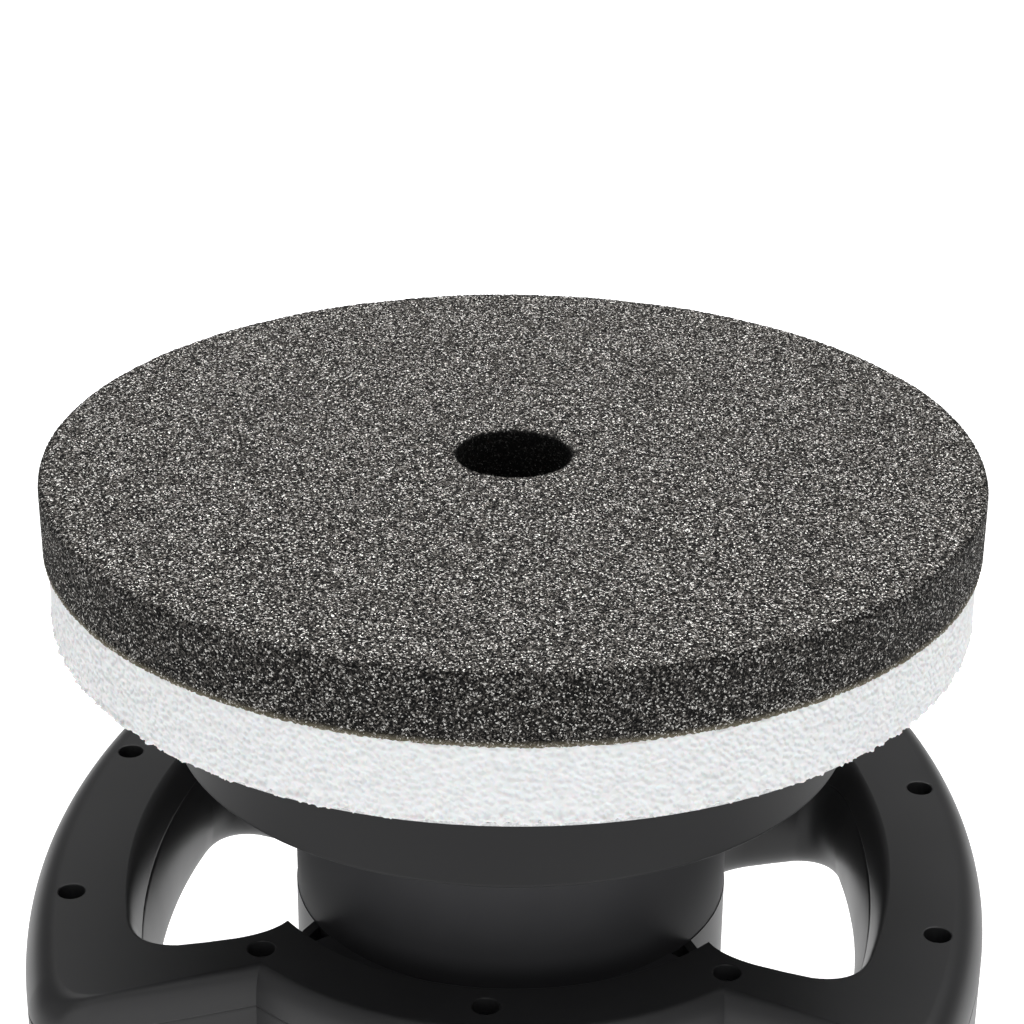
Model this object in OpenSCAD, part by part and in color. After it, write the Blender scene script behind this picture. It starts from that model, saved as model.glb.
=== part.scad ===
// Two-handled dual action polisher, standing upside down on the flat of its
// motor dome with the foam pad on top. Millimetres, +Z up, the motor axis on Z.

/* [Foam pad] */
// Diameter of the pad's working face
pad_d = 240; // [220:1:250]
// Thickness of the dark face foam
face_t = 18.3; // [15:0.1:22]
// Thickness of the white base foam
base_t = 20.7; // [16:0.1:24]
// Diameter of the pad's centre hole
pad_hole_d = 29; // [24:1:40]
// Height of the pad's working face above the rest plane
pad_top_z = 205; // [203:0.5:207]

/* [Backing plate] */
// Outer radius of the backing plate
plate_r = 89.4; // [84:0.1:92]
// Height of the lower edge of the plate's skirt
plate_rim_z = 131; // [126:1:138]
// Wall thickness of the plate's skirt
plate_wall = 3; // [2.5:0.1:4]
// Distance between the motor axis and the pad axis
throw = 4; // [3:0.5:5]

/* [Housing] */
// Height of the flat face of the handles and bridges
top_z = 88; // [86:0.5:90]
// Height of the parting plane between the two housing shells
split_z = 78; // [76:0.5:80]
// Height of the dome side of the handles
under_z = 48; // [44:1:50]
// Wall thickness of the housing shells
wall = 2.6; // [2:0.1:3]
// Radius of the drum at the parting plane
drum_r = 92.4; // [91:0.1:94]
// Half width over the two handles
half_w = 128.6; // [125:0.1:130]
// Outer radius of the motor column and its dome
column_r = 59; // [58.9:0.1:60]
// Radius of the flat that the machine stands on
rest_r = 42; // [36:1:44]
// Inner radius of the two bridges, which is the moat's outer wall
moat_r = 71.2; // [70:0.1:72]

/* [Neck] */
// Outer radius of the neck
neck_r = 58.8; // [57:0.1:58.8]
// Wall thickness of the neck
neck_wall = 2.8; // [2.4:0.1:3]
// Height of the neck's open end
neck_top_z = 150; // [146:1:151]
// Height of the pad side of the web that carries the motor
web_z = 108; // [107:0.5:109]

/* [Motor] */
// Outer radius of the motor can
can_r = 38; // [37:0.5:40]
// Wall thickness of the motor can
can_wall = 2.4; // [2:0.1:2.6]
// Radius of the rotor core
core_r = 29.2; // [28:0.1:29.4]
// Number of slots in the rotor core
slots = 12; // [8:1:14]
// Number of copper bars in the commutator
bars = 24; // [12:2:30]
// Number of blades on the cooling fan
blades = 11; // [7:2:15]

/* [Controls] */
// Distance of the switch and the dial from the middle, across the machine
control_x = 80; // [78:1:81]
// Distance of the switch and the dial from the middle, towards the front
control_y = 67.6; // [67:0.1:68.5]
// Turn of the front arms that carry the controls, in degrees
arm_turn = 23; // [20:1:25]
// Rocker's lean in its off position, in degrees
rocker_lean = 9; // [6:1:10]
// Radius of the thumbwheel
dial_r = 11; // [10:0.5:11]
// Bore of the cord gland
cord_bore_d = 8.5; // [7:0.5:9]

/* [Hidden] */
$fn = 96;

// Colours
housing_colour = "#2a2a2b";
steel = "#b4b6b8";
dark_steel = "#6f7276";
zinc = "#a3a5a2";
aluminium = "#c3c5c4";
copper = "#b4713c";
brass = "#b79a4f";
plastic_black = "#1d1d1e";

// Heights that follow from the driving sizes
base_top_z = pad_top_z - face_t;
base_z = base_top_z - base_t;
velour_t = 0.85;
hook_z = base_z - 2 * velour_t;
plate_floor = 6.3;
plate_floor_z = hook_z - plate_floor;
pad_y = -throw;

// Housing screws: four on the handles, four at the drum's corners, two on its centre line
screw_r = 3.5;
screw_seat_z = 82;
handle_screw = [114, 37.5];
corner_screw = 59.5;
centre_screw_y = 79.4;
screw_places = concat(
    [for (x = [-1, 1], y = [-1, 1]) [x * handle_screw[0], y * handle_screw[1]]],
    [for (x = [-1, 1], y = [-1, 1]) [x * corner_screw, y * corner_screw]],
    [[0, -centre_screw_y], [0, centre_screw_y]]
);

// Bearings: [bore, outer diameter, width, balls]
pad_bearing = [15, 35, 11, 8];
front_bearing = [12, 32, 10, 7];
rear_bearing = [8, 22, 7, 7];
pad_bearing_z = 137;
front_bearing_z = 92;
rear_bearing_z = 18;
race_gap = 0.15;

// Stations along the motor axis
hub_z = 113;
pocket_floor_z = 128;
shaft_end_z = 126;
eccentric_top_z = 149.5;
can_z = 38;
can_top_z = 98;
core_z = 46;
core_top_z = 86;
bracket_z = 34;
brush_z = 30;
board_z = 9;
gland_x = 26;
gland_z = 58;

function lerp(a, b, t) = a + (b - a) * t;
function unit(v) = v / norm(v);
function bezier(a, k, b, t) = lerp(lerp(a, k, t), lerp(k, b, t), t);
function mirror_x(p) = [for (i = [len(p) - 1:-1:0]) [-p[i][0], p[i][1]]];
function mirror_y(p) = [for (i = [len(p) - 1:-1:0]) [p[i][0], -p[i][1]]];

// Moves each point of a closed anticlockwise outline outwards by d
function grown(p, d) = [
    for (i = [0:len(p) - 1])
        let (
            before = unit(p[i] - p[(i + len(p) - 1) % len(p)]),
            after = unit(p[(i + 1) % len(p)] - p[i]),
            side = unit(before + after)
        )
        p[i] + d * [side[1], -side[0]]
];

// Front right quarter of the housing's outline: the drum's arc, the arm's straight wall,
// the handle's rounded corner and the handle's long arc. f is 0 at the parting plane and 1
// at the flat face of the handles.
function quarter(f) =
    let (
        r = lerp(drum_r, drum_r - 4.8, f),
        turn = lerp(39.9, 41.9, f),
        w = lerp(half_w, half_w - 8.3, f),
        long_r = lerp(255, 247, f),
        wall_end = lerp([98.5, -87.4], [93.5, -81.8], f),
        corner = lerp([110.8, -92.6], [104.6, -87], f),
        arc_y = lerp(-79, -73, f),
        arc = function (y) [w - long_r + sqrt(long_r * long_r - y * y), y]
    )
    concat(
        [for (i = [0:6]) let (a = turn * i / 6) r * [sin(a), -cos(a)]],
        [for (i = [0:5]) bezier(wall_end, corner, arc(arc_y), i / 5)],
        [for (i = [1:5]) arc(arc_y * (1 - i / 6))]
    );

function half_outline(f) = concat(quarter(f), [[lerp(half_w, half_w - 8.3, f), 0]],
                                  mirror_y([for (i = [1:len(quarter(f)) - 1]) quarter(f)[i]]));

// The whole outline, anticlockwise from the front
function outline(f) = concat(half_outline(f), [[0, lerp(drum_r, drum_r - 4.8, f)]],
                             mirror_x([for (i = [1:len(half_outline(f)) - 1]) half_outline(f)[i]]));

// Front half of the right finger opening, from the column outwards. f is 0 at the parting
// plane and 1 at the flat face.
function opening_half(f) = concat(
    [lerp([48, -26], [48, -28], f), lerp([52.5, -35], [53, -43], f)],
    [for (i = [0:3]) bezier(lerp([54.5, -41], [54.6, -46], f), lerp([57, -47.5], [57.6, -52], f),
                            lerp([66, -51], [67, -55.8], f), i / 3)],
    [lerp([74, -53.6], [74, -58.2], f)],
    [for (i = [0:4]) bezier(lerp([80.5, -55.6], [81, -60.2], f), lerp([91, -57.6], [94.8, -62], f),
                            lerp([94.2, -44], [97.6, -46], f), i / 4)],
    [for (i = [1:3]) let (y = lerp(-44, -46, f) * (1 - i / 4))
        [lerp(98.7, 103.6, f) - y * y / lerp(430, 350, f), y]]
);

function opening(f) = concat(opening_half(f), [[lerp(98.7, 103.6, f), 0]], mirror_y(opening_half(f)));

// Inset of the outer wall, and flare of the openings, against height
outer_levels = [[under_z, 1], [under_z + 2.5, 0.45], [under_z + 9, 0], [split_z, 0], [top_z - 3.5, 0.25],
                [top_z, 1]];
opening_levels = [[under_z - 1, 1.2], [under_z + 3, 0.1], [under_z + 14, -0.6], [split_z, 0],
                  [top_z - 4, 0.35], [top_z + 1, 1.15]];

// A solid through rings of equal length, from the highest to the lowest. Each end is a fan
// of triangles round a point that sees the whole ring.
module loft(rings, centre) {
    n = len(rings[0][1]);
    m = len(rings);
    polyhedron(
        points = concat(
            [for (ring = rings, p = ring[1]) [p[0], p[1], ring[0]]],
            [for (k = [0, m - 1]) [centre[0], centre[1], rings[k][0]]]
        ),
        faces = [
            for (i = [0:n - 1])
                let (j = (i + 1) % n)
                each concat(
                    [[m * n, j, i], [m * n + 1, (m - 1) * n + i, (m - 1) * n + j]],
                    [for (k = [0:m - 2]) each [
                        [k * n + i, k * n + j, (k + 1) * n + j],
                        [k * n + i, (k + 1) * n + j, (k + 1) * n + i]
                    ]]
                )
        ]
    );
}

// Rings of a list of levels, from one height up to another
function rings(levels, low, high, what) = concat(
    [[high, what(lookup(high, levels))]],
    [for (i = [len(levels) - 1:-1:0]) let (v = levels[i]) if (v[0] > low && v[0] < high) [v[0], what(v[1])]],
    [[low, what(lookup(low, levels))]]
);
outline_of = function (f) outline(f);
opening_of = function (f) opening(f);

module both_openings(low, high) {
    for (side = [0, 1]) mirror([side, 0, 0]) loft(rings(opening_levels, low, high, opening_of), [75, 0]);
}

// Straight prism of one outline, grown sideways by d
module prism(points, d, z1, z2) {
    translate([0, 0, z1]) linear_extrude(z2 - z1) polygon(grown(points, d));
}

module both_opening_walls(f, z1, z2) {
    for (side = [0, 1]) mirror([side, 0, 0]) prism(opening(f), wall, z1, z2);
}

// A ring around the Z axis, from r1 to r2 and from z1 to z2
module ring(r1, r2, z1, z2) {
    translate([0, 0, z1]) difference() {
        cylinder(r = r2, h = z2 - z1);
        translate([0, 0, -1]) cylinder(r = r1, h = z2 - z1 + 2);
    }
}

module rod(r, z1, z2) {
    translate([0, 0, z1]) cylinder(r = r, h = z2 - z1);
}

// Sector of a half turn centred on +Y, wide enough to cut a ring with
module sector(half_angle, r, z1, z2) {
    translate([0, 0, z1]) linear_extrude(z2 - z1)
        polygon([[0, 0], for (i = [-2:2]) r / cos(half_angle / 4) * [sin(half_angle * i / 2), cos(half_angle * i / 2)]]);
}

module at_screws() {
    for (p = screw_places) translate([p[0], p[1], 0]) children();
}

module at_pad() {
    translate([0, pad_y, 0]) children();
}

module at_controls(side) {
    translate([side * control_x, -control_y, 0]) rotate([0, 0, -side * arm_turn]) children();
}

// A tube with flat ends along a list of points
module tube(points, r, sides, up) {
    n = len(points);
    dir = [for (i = [0:n - 1]) unit(points[min(i + 1, n - 1)] - points[max(i - 1, 0)])];
    polyhedron(
        points = [
            for (i = [0:n - 1])
                let (u = unit(cross(dir[i], up)), v = cross(u, dir[i]))
                for (k = [0:sides - 1]) let (a = 360 * k / sides) points[i] + r * (cos(a) * u + sin(a) * v)
        ],
        faces = concat(
            [[for (k = [0:sides - 1]) k]],
            [for (i = [0:n - 2], k = [0:sides - 1]) let (j = (k + 1) % sides)
                [i * sides + k, (i + 1) * sides + k, (i + 1) * sides + j, i * sides + j]],
            [[for (k = [sides - 1:-1:0]) (n - 1) * sides + k]]
        )
    );
}

// Deep-groove bearing parts. b is [bore, outer diameter, width, balls].
function pitch_r(b) = (b[0] + b[1]) / 4;
function ball_r(b) = (b[1] - b[0]) * 0.14;

module bearing_groove(b) {
    rotate_extrude() translate([pitch_r(b), b[2] / 2]) circle(r = ball_r(b) + race_gap, $fn = 48);
}

module bearing_inner(b) {
    color(steel) difference() {
        ring(b[0] / 2, pitch_r(b) - ball_r(b) * 0.45, 0, b[2]);
        bearing_groove(b);
    }
}

module bearing_outer(b) {
    color(steel) difference() {
        ring(pitch_r(b) + ball_r(b) * 0.45, b[1] / 2, 0, b[2]);
        bearing_groove(b);
    }
}

module bearing_balls(b) {
    color(steel) for (i = [0:b[3] - 1]) rotate([0, 0, 360 * i / b[3]])
        translate([pitch_r(b), 0, b[2] / 2]) sphere(r = ball_r(b), $fn = 32);
}

// ---- Pad ----

module foam_face() {
    color("#3b3a3a") at_pad() ring(pad_hole_d / 2, pad_d / 2, base_top_z, pad_top_z);
}

module foam_base() {
    color("#e6e8ea") at_pad() ring(pad_hole_d / 2, pad_d / 2 - 1.1, base_z, base_top_z);
}

module loop_disc() {
    color("#d5d6d8") at_pad() ring(pad_hole_d / 2, pad_d / 2 - 3, base_z - velour_t, base_z);
}

module hook_disc() {
    color(plastic_black) at_pad() ring(pad_hole_d / 2, plate_r - 2, hook_z, base_z - velour_t);
}

module backing_plate() {
    color("#29292a") at_pad() difference() {
        union() {
            rod(plate_r, plate_floor_z, hook_z);
            ring(plate_r - plate_wall, plate_r, plate_rim_z, plate_floor_z + 1);
            rod(20, 156, plate_floor_z + 1);
            for (i = [0:5]) rotate([0, 0, 60 * i]) translate([18, -1.2, 154])
                cube([plate_r - plate_wall - 17, 2.4, plate_floor_z - 153]);
        }
        rod(4.2, 150, hook_z + 1);
        rod(12, 161, hook_z + 1);
    }
}

module plate_washer() {
    color(steel) at_pad() ring(4.2, 10, 161, 162.5);
}

module plate_bolt() {
    color(dark_steel) at_pad() difference() {
        union() {
            rod(6.5, 162.5, 170);
            rod(3.95, 141, 163);
        }
        rod(3.5, 165.5, 171, $fn = 6);
    }
}

module pad_spindle() {
    color(steel) at_pad() difference() {
        union() {
            rod(7.5, 134, 150);
            rod(9.6, pad_bearing_z + pad_bearing[2], 151);
            rod(16, 151, 156);
        }
        ring(7, 9, 135.4, 136.6);
        rod(4, 138, 157);
    }
}

module pad_bearing_inner() {
    at_pad() translate([0, 0, pad_bearing_z]) bearing_inner(pad_bearing);
}

module spindle_circlip() {
    color(dark_steel) at_pad() difference() {
        ring(7, 9.2, 135.5, 136.5);
        translate([-1.5, 0, 134]) cube([3, 12, 4]);
    }
}

// ---- Drive ----

module rotor_shaft() {
    color(steel) difference() {
        union() {
            rod(4, 16, 26);
            rod(6, 26, shaft_end_z);
        }
        rod(2.5, 112, shaft_end_z + 1);
    }
}

module rotor_core() {
    color(dark_steel) difference() {
        ring(6, core_r, core_z, core_top_z);
        for (i = [0:slots - 1]) rotate([0, 0, 360 * i / slots]) {
            translate([14, -2.6, core_z - 1]) cube([9.5, 5.2, core_top_z - core_z + 2]);
            translate([23, -1, core_z - 1]) cube([10, 2, core_top_z - core_z + 2]);
        }
    }
}

// Coils in the slots, and the end turns at both ends of the core
module rotor_windings() {
    color(copper) union() {
        for (i = [0:slots - 1]) rotate([0, 0, 360 * i / slots])
            translate([14.2, -2.4, core_z - 2]) cube([9.1, 4.8, core_top_z - core_z + 4]);
        ring(12.5, 26, core_top_z + 0.1, 89.4);
        ring(12.5, 26, 41, core_z - 0.1);
    }
}

module commutator() {
    color(copper) difference() {
        ring(6, 12, 26, 40.5);
        for (i = [0:bars - 1]) rotate([0, 0, 360 * i / bars]) translate([11, -0.25, 25]) cube([2, 0.5, 17]);
    }
}

module front_bearing_inner() {
    translate([0, 0, front_bearing_z]) bearing_inner(front_bearing);
}

module rear_bearing_inner() {
    translate([0, 0, rear_bearing_z]) bearing_inner(rear_bearing);
}

module cooling_fan() {
    color("#4c5156") union() {
        ring(13, 17, hub_z, 123);
        ring(16, 50, hub_z, hub_z + 1.6);
        for (i = [0:blades - 1]) rotate([0, 0, 360 * i / blades]) translate([16.5, -0.8, hub_z + 1])
            cube([33, 1.6, 9]);
    }
}

// Hub on the motor shaft with the offset bearing pocket and its counterweight
module eccentric_hub() {
    color(zinc) difference() {
        union() {
            rod(13, hub_z, pocket_floor_z);
            at_pad() rod(21.5, 126, eccentric_top_z);
            intersection() {
                ring(12, 50, 126, 140);
                sector(62, 60, 125, 141);
            }
        }
        rod(6, hub_z - 1, shaft_end_z);
        rod(3.2, shaft_end_z - 1, pocket_floor_z + 1);
        at_pad() {
            rod(13.5, pocket_floor_z, eccentric_top_z + 1);
            rod(pad_bearing[1] / 2, pad_bearing_z, eccentric_top_z + 1);
            rod(18.3, 148.1, 149.1);
        }
    }
}

module eccentric_screw() {
    color(dark_steel) difference() {
        union() {
            rod(2.45, 114, pocket_floor_z + 1);
            rod(5, pocket_floor_z, 132.5);
        }
        rod(2.3, 130, 134, $fn = 6);
    }
}

module pad_bearing_outer() {
    at_pad() translate([0, 0, pad_bearing_z]) bearing_outer(pad_bearing);
}

module pad_bearing_balls() {
    at_pad() translate([0, 0, pad_bearing_z]) bearing_balls(pad_bearing);
}

module pocket_circlip() {
    color(dark_steel) at_pad() difference() {
        ring(15.2, 18.2, 148.15, 149.05);
        translate([-3, 0, 147]) cube([6, 20, 4]);
    }
}

// ---- Housing ----

// Pad-side shell: both handles and both bridges in one moulding, open round the neck
module pad_side_housing() {
    color(housing_colour) difference() {
        loft(rings(outer_levels, split_z, top_z, outline_of), [0, 0]);
        both_openings(split_z - 2, top_z + 1);
        rod(moat_r, split_z - 1, top_z + 1);
        difference() {
            prism(outline(0.35), -wall, split_z - 1, top_z - wall);
            both_opening_walls(0.35, split_z - 2, top_z);
            rod(moat_r + wall, split_z - 2, top_z);
            at_screws() rod(screw_r + 1.8, split_z - 2, top_z);
        }
        at_screws() {
            rod(screw_r, screw_seat_z, top_z + 1);
            rod(2.2, split_z - 1, top_z);
        }
    }
}

dome_profile = concat(
    [[0, 0], [rest_r, 0]],
    [for (i = [1:5]) bezier([rest_r, 0], [rest_r + 8, 0], [rest_r + 10.5, 10], i / 5)],
    [[column_r - 2, 26], [column_r, 38]]
);

// Dome-side shell: motor dome and column, arms and handles, screw posts and board posts
module dome_side_housing() {
    floor_z = under_z + wall;
    color(housing_colour) difference() {
        union() {
            difference() {
                loft(rings(outer_levels, under_z, split_z, outline_of), [0, 0]);
                both_openings(under_z - 1, split_z + 1);
            }
            rotate_extrude() polygon(concat(dome_profile, [[column_r, split_z], [0, split_z]]));
        }
        // Hollow of the handles, arms and bridges
        difference() {
            prism(outline(0.1), -wall, floor_z + 6, split_z + 1);
            both_opening_walls(0.1, floor_z, split_z + 2);
            rod(column_r, floor_z, split_z + 2);
            at_screws() rod(screw_r + 1, floor_z, split_z + 2);
        }
        difference() {
            prism(outline(0.8), -wall, floor_z, floor_z + 6.5);
            both_opening_walls(0.6, floor_z - 1, split_z);
            rod(column_r, floor_z - 1, split_z);
            at_screws() rod(screw_r + 1, floor_z - 1, split_z);
        }
        // Hollow of the motor column and dome
        difference() {
            rotate_extrude() polygon(concat(
                [[0, wall], [rest_r - 1, wall]],
                [for (i = [3:len(dome_profile) - 1]) dome_profile[i] + [-wall, i < 6 ? wall * 0.6 : 0]],
                [[column_r - wall, split_z + 1], [0, split_z + 1]]
            ));
            for (x = [-24, 24], y = [-18, 18]) translate([x, y, 0]) rod(3, wall - 1, board_z);
        }
        // Seat of the neck's flange
        for (a = [0, 180]) rotate([0, 0, a]) intersection() {
            ring(50, moat_r + 4, split_z - 3, split_z + 1);
            sector(51, 90, split_z - 4, split_z + 2);
        }
        at_screws() rod(1.6, 60, split_z + 1);
        // Wire holes through the column, and the gland's hole
        for (a = [-54, 234, 72]) rotate([0, 0, a]) translate([column_r - 6, 0, 57]) rotate([0, 90, 0])
            cylinder(r = 4, h = 12);
        translate([gland_x, 60, gland_z]) rotate([-90, 0, 0]) cylinder(r = 6.5, h = 40);
        // Openings for the rocker switch and the thumbwheel
        at_controls(1) translate([-9.6, -6.6, under_z - 1]) cube([19.2, 13.2, 16]);
        at_controls(-1) {
            translate([-dial_r - 1, -3.6, under_z - 1]) cube([2 * dial_r + 2, 7.2, 20]);
            translate([-5.2, 3.5, under_z + wall]) cube([10.4, 4.1, 14]);
        }
        // Cooling slots low on the dome, front and rear
        for (a = [-90, 90], i = [-4:4]) rotate([0, 0, a + 9 * i]) translate([40, -1.5, 14])
            cube([30, 3, 16]);
    }
}

// Neck round the eccentric, with the flange that the two shells clamp and the motor's web
module neck_shroud() {
    color(housing_colour) difference() {
        union() {
            ring(neck_r - neck_wall, neck_r, split_z, neck_top_z);
            intersection() {
                ring(neck_r - neck_wall, moat_r + 3.6, split_z - 3, split_z);
                union() {
                    sector(50, 90, split_z - 4, split_z + 1);
                    rotate([0, 0, 180]) sector(50, 90, split_z - 4, split_z + 1);
                }
            }
            rod(neck_r - 1, web_z - 4, web_z);
        }
        rod(20.5, web_z - 5, web_z + 1);
        for (i = [0:3]) rotate([0, 0, 45 + 90 * i]) translate([29, 0, 0]) rod(2.2, web_z - 5, web_z + 1);
        for (i = [0:7]) rotate([0, 0, 22.5 + 45 * i]) translate([42, -6, web_z - 5]) cube([9, 12, 6]);
        at_screws() rod(2.2, split_z - 4, split_z + 1);
    }
}

module housing_screws() {
    color(dark_steel) at_screws() difference() {
        union() {
            rod(3.2, screw_seat_z, screw_seat_z + 2.4);
            rod(1.6, 62, screw_seat_z + 1);
        }
        for (a = [0, 90]) rotate([0, 0, a]) translate([-1.9, -0.4, screw_seat_z + 1]) cube([3.8, 0.8, 2]);
    }
}

// ---- Motor ----

module motor_can() {
    color(zinc) ring(can_r - can_wall, can_r, can_z, can_top_z);
}

module motor_magnets() {
    color("#3d3f42") for (a = [0, 180]) rotate([0, 0, a]) intersection() {
        ring(core_r + 0.8, can_r - can_wall, core_z + 2, core_top_z);
        rotate([0, 0, -90]) sector(62, 60, core_z, core_top_z + 1);
    }
}

module front_bracket() {
    color(aluminium) difference() {
        union() {
            rod(40, can_top_z, web_z - 4);
            rod(can_r - can_wall - 0.1, can_top_z - 3, can_top_z + 1);
            rod(19.5, 90.5, can_top_z);
        }
        rod(front_bearing[1] / 2, 90, front_bearing_z + front_bearing[2]);
        rod(9, 90, web_z);
        for (i = [0:3]) rotate([0, 0, 45 + 90 * i]) translate([29, 0, 0]) rod(2, 96, web_z);
        for (y = [-33, 33]) translate([0, y, 0]) rod(2, 94, 102);
    }
}

module rear_bracket() {
    color(plastic_black) difference() {
        union() {
            rod(can_r, bracket_z, can_z);
            rod(14, rear_bearing_z - 3, rear_bearing_z + rear_bearing[2]);
            for (a = [0, 180]) rotate([0, 0, 90 + a]) translate([10.5, -5, rear_bearing_z])
                cube([8, 10, bracket_z - rear_bearing_z + 1]);
        }
        rod(rear_bearing[1] / 2, rear_bearing_z, rear_bearing_z + rear_bearing[2] + 1);
        rod(6, rear_bearing_z - 4, rear_bearing_z + 1);
        rod(15, rear_bearing_z + rear_bearing[2] + 0.01, can_z + 1);
        for (y = [-33, 33]) translate([0, y, 0]) rod(2.1, bracket_z - 1, can_z + 1);
        for (a = [0:5]) rotate([0, 0, 30 + 60 * a]) translate([27, 0, 0]) rod(4, bracket_z - 1, can_z + 1);
    }
}

module tie_bolts() {
    color(dark_steel) for (y = [-33, 33]) translate([0, y, 0]) difference() {
        union() {
            rod(3.5, bracket_z - 3, bracket_z);
            rod(1.95, bracket_z - 1, 101);
        }
        translate([-4, -0.5, bracket_z - 4]) cube([8, 1, 2]);
    }
}

module motor_screws() {
    color(dark_steel) for (i = [0:3]) rotate([0, 0, 45 + 90 * i]) translate([29, 0, 0]) difference() {
        union() {
            rod(3.6, web_z, web_z + 2.6);
            rod(1.95, 97, web_z + 1);
        }
        for (a = [0, 90]) rotate([0, 0, a]) translate([-2.2, -0.5, web_z + 1.2]) cube([4.4, 1, 2]);
    }
}

module front_bearing_outer() {
    translate([0, 0, front_bearing_z]) bearing_outer(front_bearing);
}

module front_bearing_balls() {
    translate([0, 0, front_bearing_z]) bearing_balls(front_bearing);
}

module rear_bearing_outer() {
    translate([0, 0, rear_bearing_z]) bearing_outer(rear_bearing);
}

module rear_bearing_balls() {
    translate([0, 0, rear_bearing_z]) bearing_balls(rear_bearing);
}

// Two brass boxes under the rear bracket, one each side of the commutator
module brush_holders() {
    color(brass) for (a = [0, 180]) rotate([0, 0, a]) translate([0, 0, brush_z]) difference() {
        translate([16, -4, -4]) cube([19, 8, 8]);
        translate([15, -2.8, -3]) cube([19, 5.6, 6]);
    }
}

module carbon_brushes() {
    color("#2f3032") for (a = [0, 180]) rotate([0, 0, a]) difference() {
        translate([11, -2.6, brush_z - 2.8]) cube([15, 5.2, 5.6]);
        rod(12.15, brush_z - 4, brush_z + 4);
    }
}

module brush_springs() {
    turns = 5;
    steps = 10;
    color(steel) for (a = [0, 180]) rotate([0, 0, a]) translate([26.3, 0, brush_z])
        tube([for (i = [0:turns * steps]) let (b = 360 * i / steps)
            [7.3 * i / (turns * steps), 1.8 * cos(b), 1.8 * sin(b)]], 0.3, 6, [1, 0, 0]);
}

// ---- Electrics ----

module control_board() {
    color("#2f6b45") difference() {
        translate([-30, -23, board_z]) cube([60, 46, 1.6]);
        for (x = [-24, 24], y = [-18, 18]) translate([x, y, 0]) rod(1.6, board_z - 1, board_z + 2);
    }
}

module rectifier() {
    color(plastic_black) translate([9, -22, board_z + 1.6]) cube([14, 4, 13]);
}

module filter_capacitor() {
    color("#31415f") translate([-17, -14, 0]) rod(6.5, board_z + 1.6, board_z + 16);
}

module switch_body() {
    color(plastic_black) at_controls(1) difference() {
        union() {
            translate([-10.5, -7.5, under_z - 1.6]) cube([21, 15, 1.6]);
            translate([-9.5, -6.5, under_z - 1]) cube([19, 13, 15]);
            for (x = [-5, 5]) translate([x - 0.4, -2.4, under_z + 13]) cube([0.8, 4.8, 8]);
        }
        translate([-8, -5, under_z - 3]) cube([16, 10, 11]);
    }
}

module dial_potentiometer() {
    color("#3b5d86") at_controls(-1) difference() {
        translate([-5, 3.8, under_z + 3.4]) cube([10, 3.6, 12]);
        translate([0, 0, under_z + 7]) rotate([-90, 0, 0]) cylinder(r = 1.55, h = 12, $fn = 48);
    }
}

// Rubber gland in the rear wall; the cord itself isn't part of the model
module cord_gland() {
    color(plastic_black) translate([gland_x, 74, gland_z]) rotate([-90, 0, 0]) difference() {
        union() {
            cylinder(r = 6.4, h = 19);
            translate([0, 0, 17.4]) cylinder(r = 8, h = 4.6);
            cylinder(r = 7.6, h = 4);
        }
        translate([0, 0, -1]) cylinder(d = cord_bore_d, h = 24);
    }
}

// Bar that grips the cord's sheath inside the housing
module cord_clamp() {
    color(plastic_black) difference() {
        translate([gland_x - 10, 64, gland_z + 0.8]) cube([20, 7, 6]);
        translate([gland_x, 62, gland_z]) rotate([-90, 0, 0]) cylinder(d = cord_bore_d - 0.5, h = 12);
        for (x = [-7.5, 7.5]) translate([gland_x + x, 67.5, 0]) rod(1.6, gland_z, gland_z + 8);
    }
}

module clamp_screws() {
    color(dark_steel) for (x = [-7.5, 7.5]) translate([gland_x + x, 67.5, 0]) {
        rod(2.8, gland_z + 6.8, gland_z + 8.6);
        rod(1.5, under_z + wall - 1, gland_z + 7);
    }
}

// Routes of the wires from the controls to the board, and from the board to the brushes
control_route = [[70, -60, 66], [64, -65, 66], [56, -66, 64], [48, -62, 59], [42, -56, 57],
                 [36, -49, 56.5], [31, -42.5, 53], [29.5, -40.5, 44], [29.5, -39.5, 34],
                 [29, -36, 24], [27, -28, 16], [26, -20, 12.2]];
brush_route = [[20, 12, 12.2], [24, 13, 17], [30, 11, 23], [33, 7, 28], [34.6, 4.6, 30]];

module lead_wires() {
    color("#7a2f2c") for (side = [0, 1]) mirror([side, 0, 0]) {
        tube(control_route, 1.3, 8, [0.3, 1, 0.15]);
        tube(brush_route, 1, 8, [0.3, 1, 0.15]);
    }
}

// ---- Controls ----

// Rocker in its off position: it turns about the arm's width
module switch_rocker() {
    pivot_z = under_z + 2;
    color("#3a3a3c") at_controls(1) translate([0, 0, pivot_z]) rotate([0, rocker_lean, 0]) difference() {
        intersection() {
            translate([-7.4, -4.7, -6]) cube([14.8, 9.4, 9]);
            rotate([90, 0, 0]) cylinder(r = 7.4, h = 12, center = true);
        }
        translate([0, 6, -20]) rotate([90, 0, 0]) cylinder(r = 15.6, h = 12);
    }
}

// Thumbwheel with a ribbed edge, on the potentiometer's shaft
module speed_dial() {
    ribs = 24;
    color("#3a3a3c") at_controls(-1) translate([0, 0, under_z + 7]) rotate([-90, 0, 0]) union() {
        difference() {
            translate([0, 0, -2.8]) cylinder(r = dial_r, h = 5.6);
            for (i = [0:ribs - 1]) rotate([0, 0, 360 * i / ribs]) translate([dial_r, 0, -4])
                cylinder(r = 0.6, h = 8, $fn = 24);
        }
        translate([0, 0, 2]) cylinder(r = 1.5, h = 5, $fn = 48);
    }
}

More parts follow.
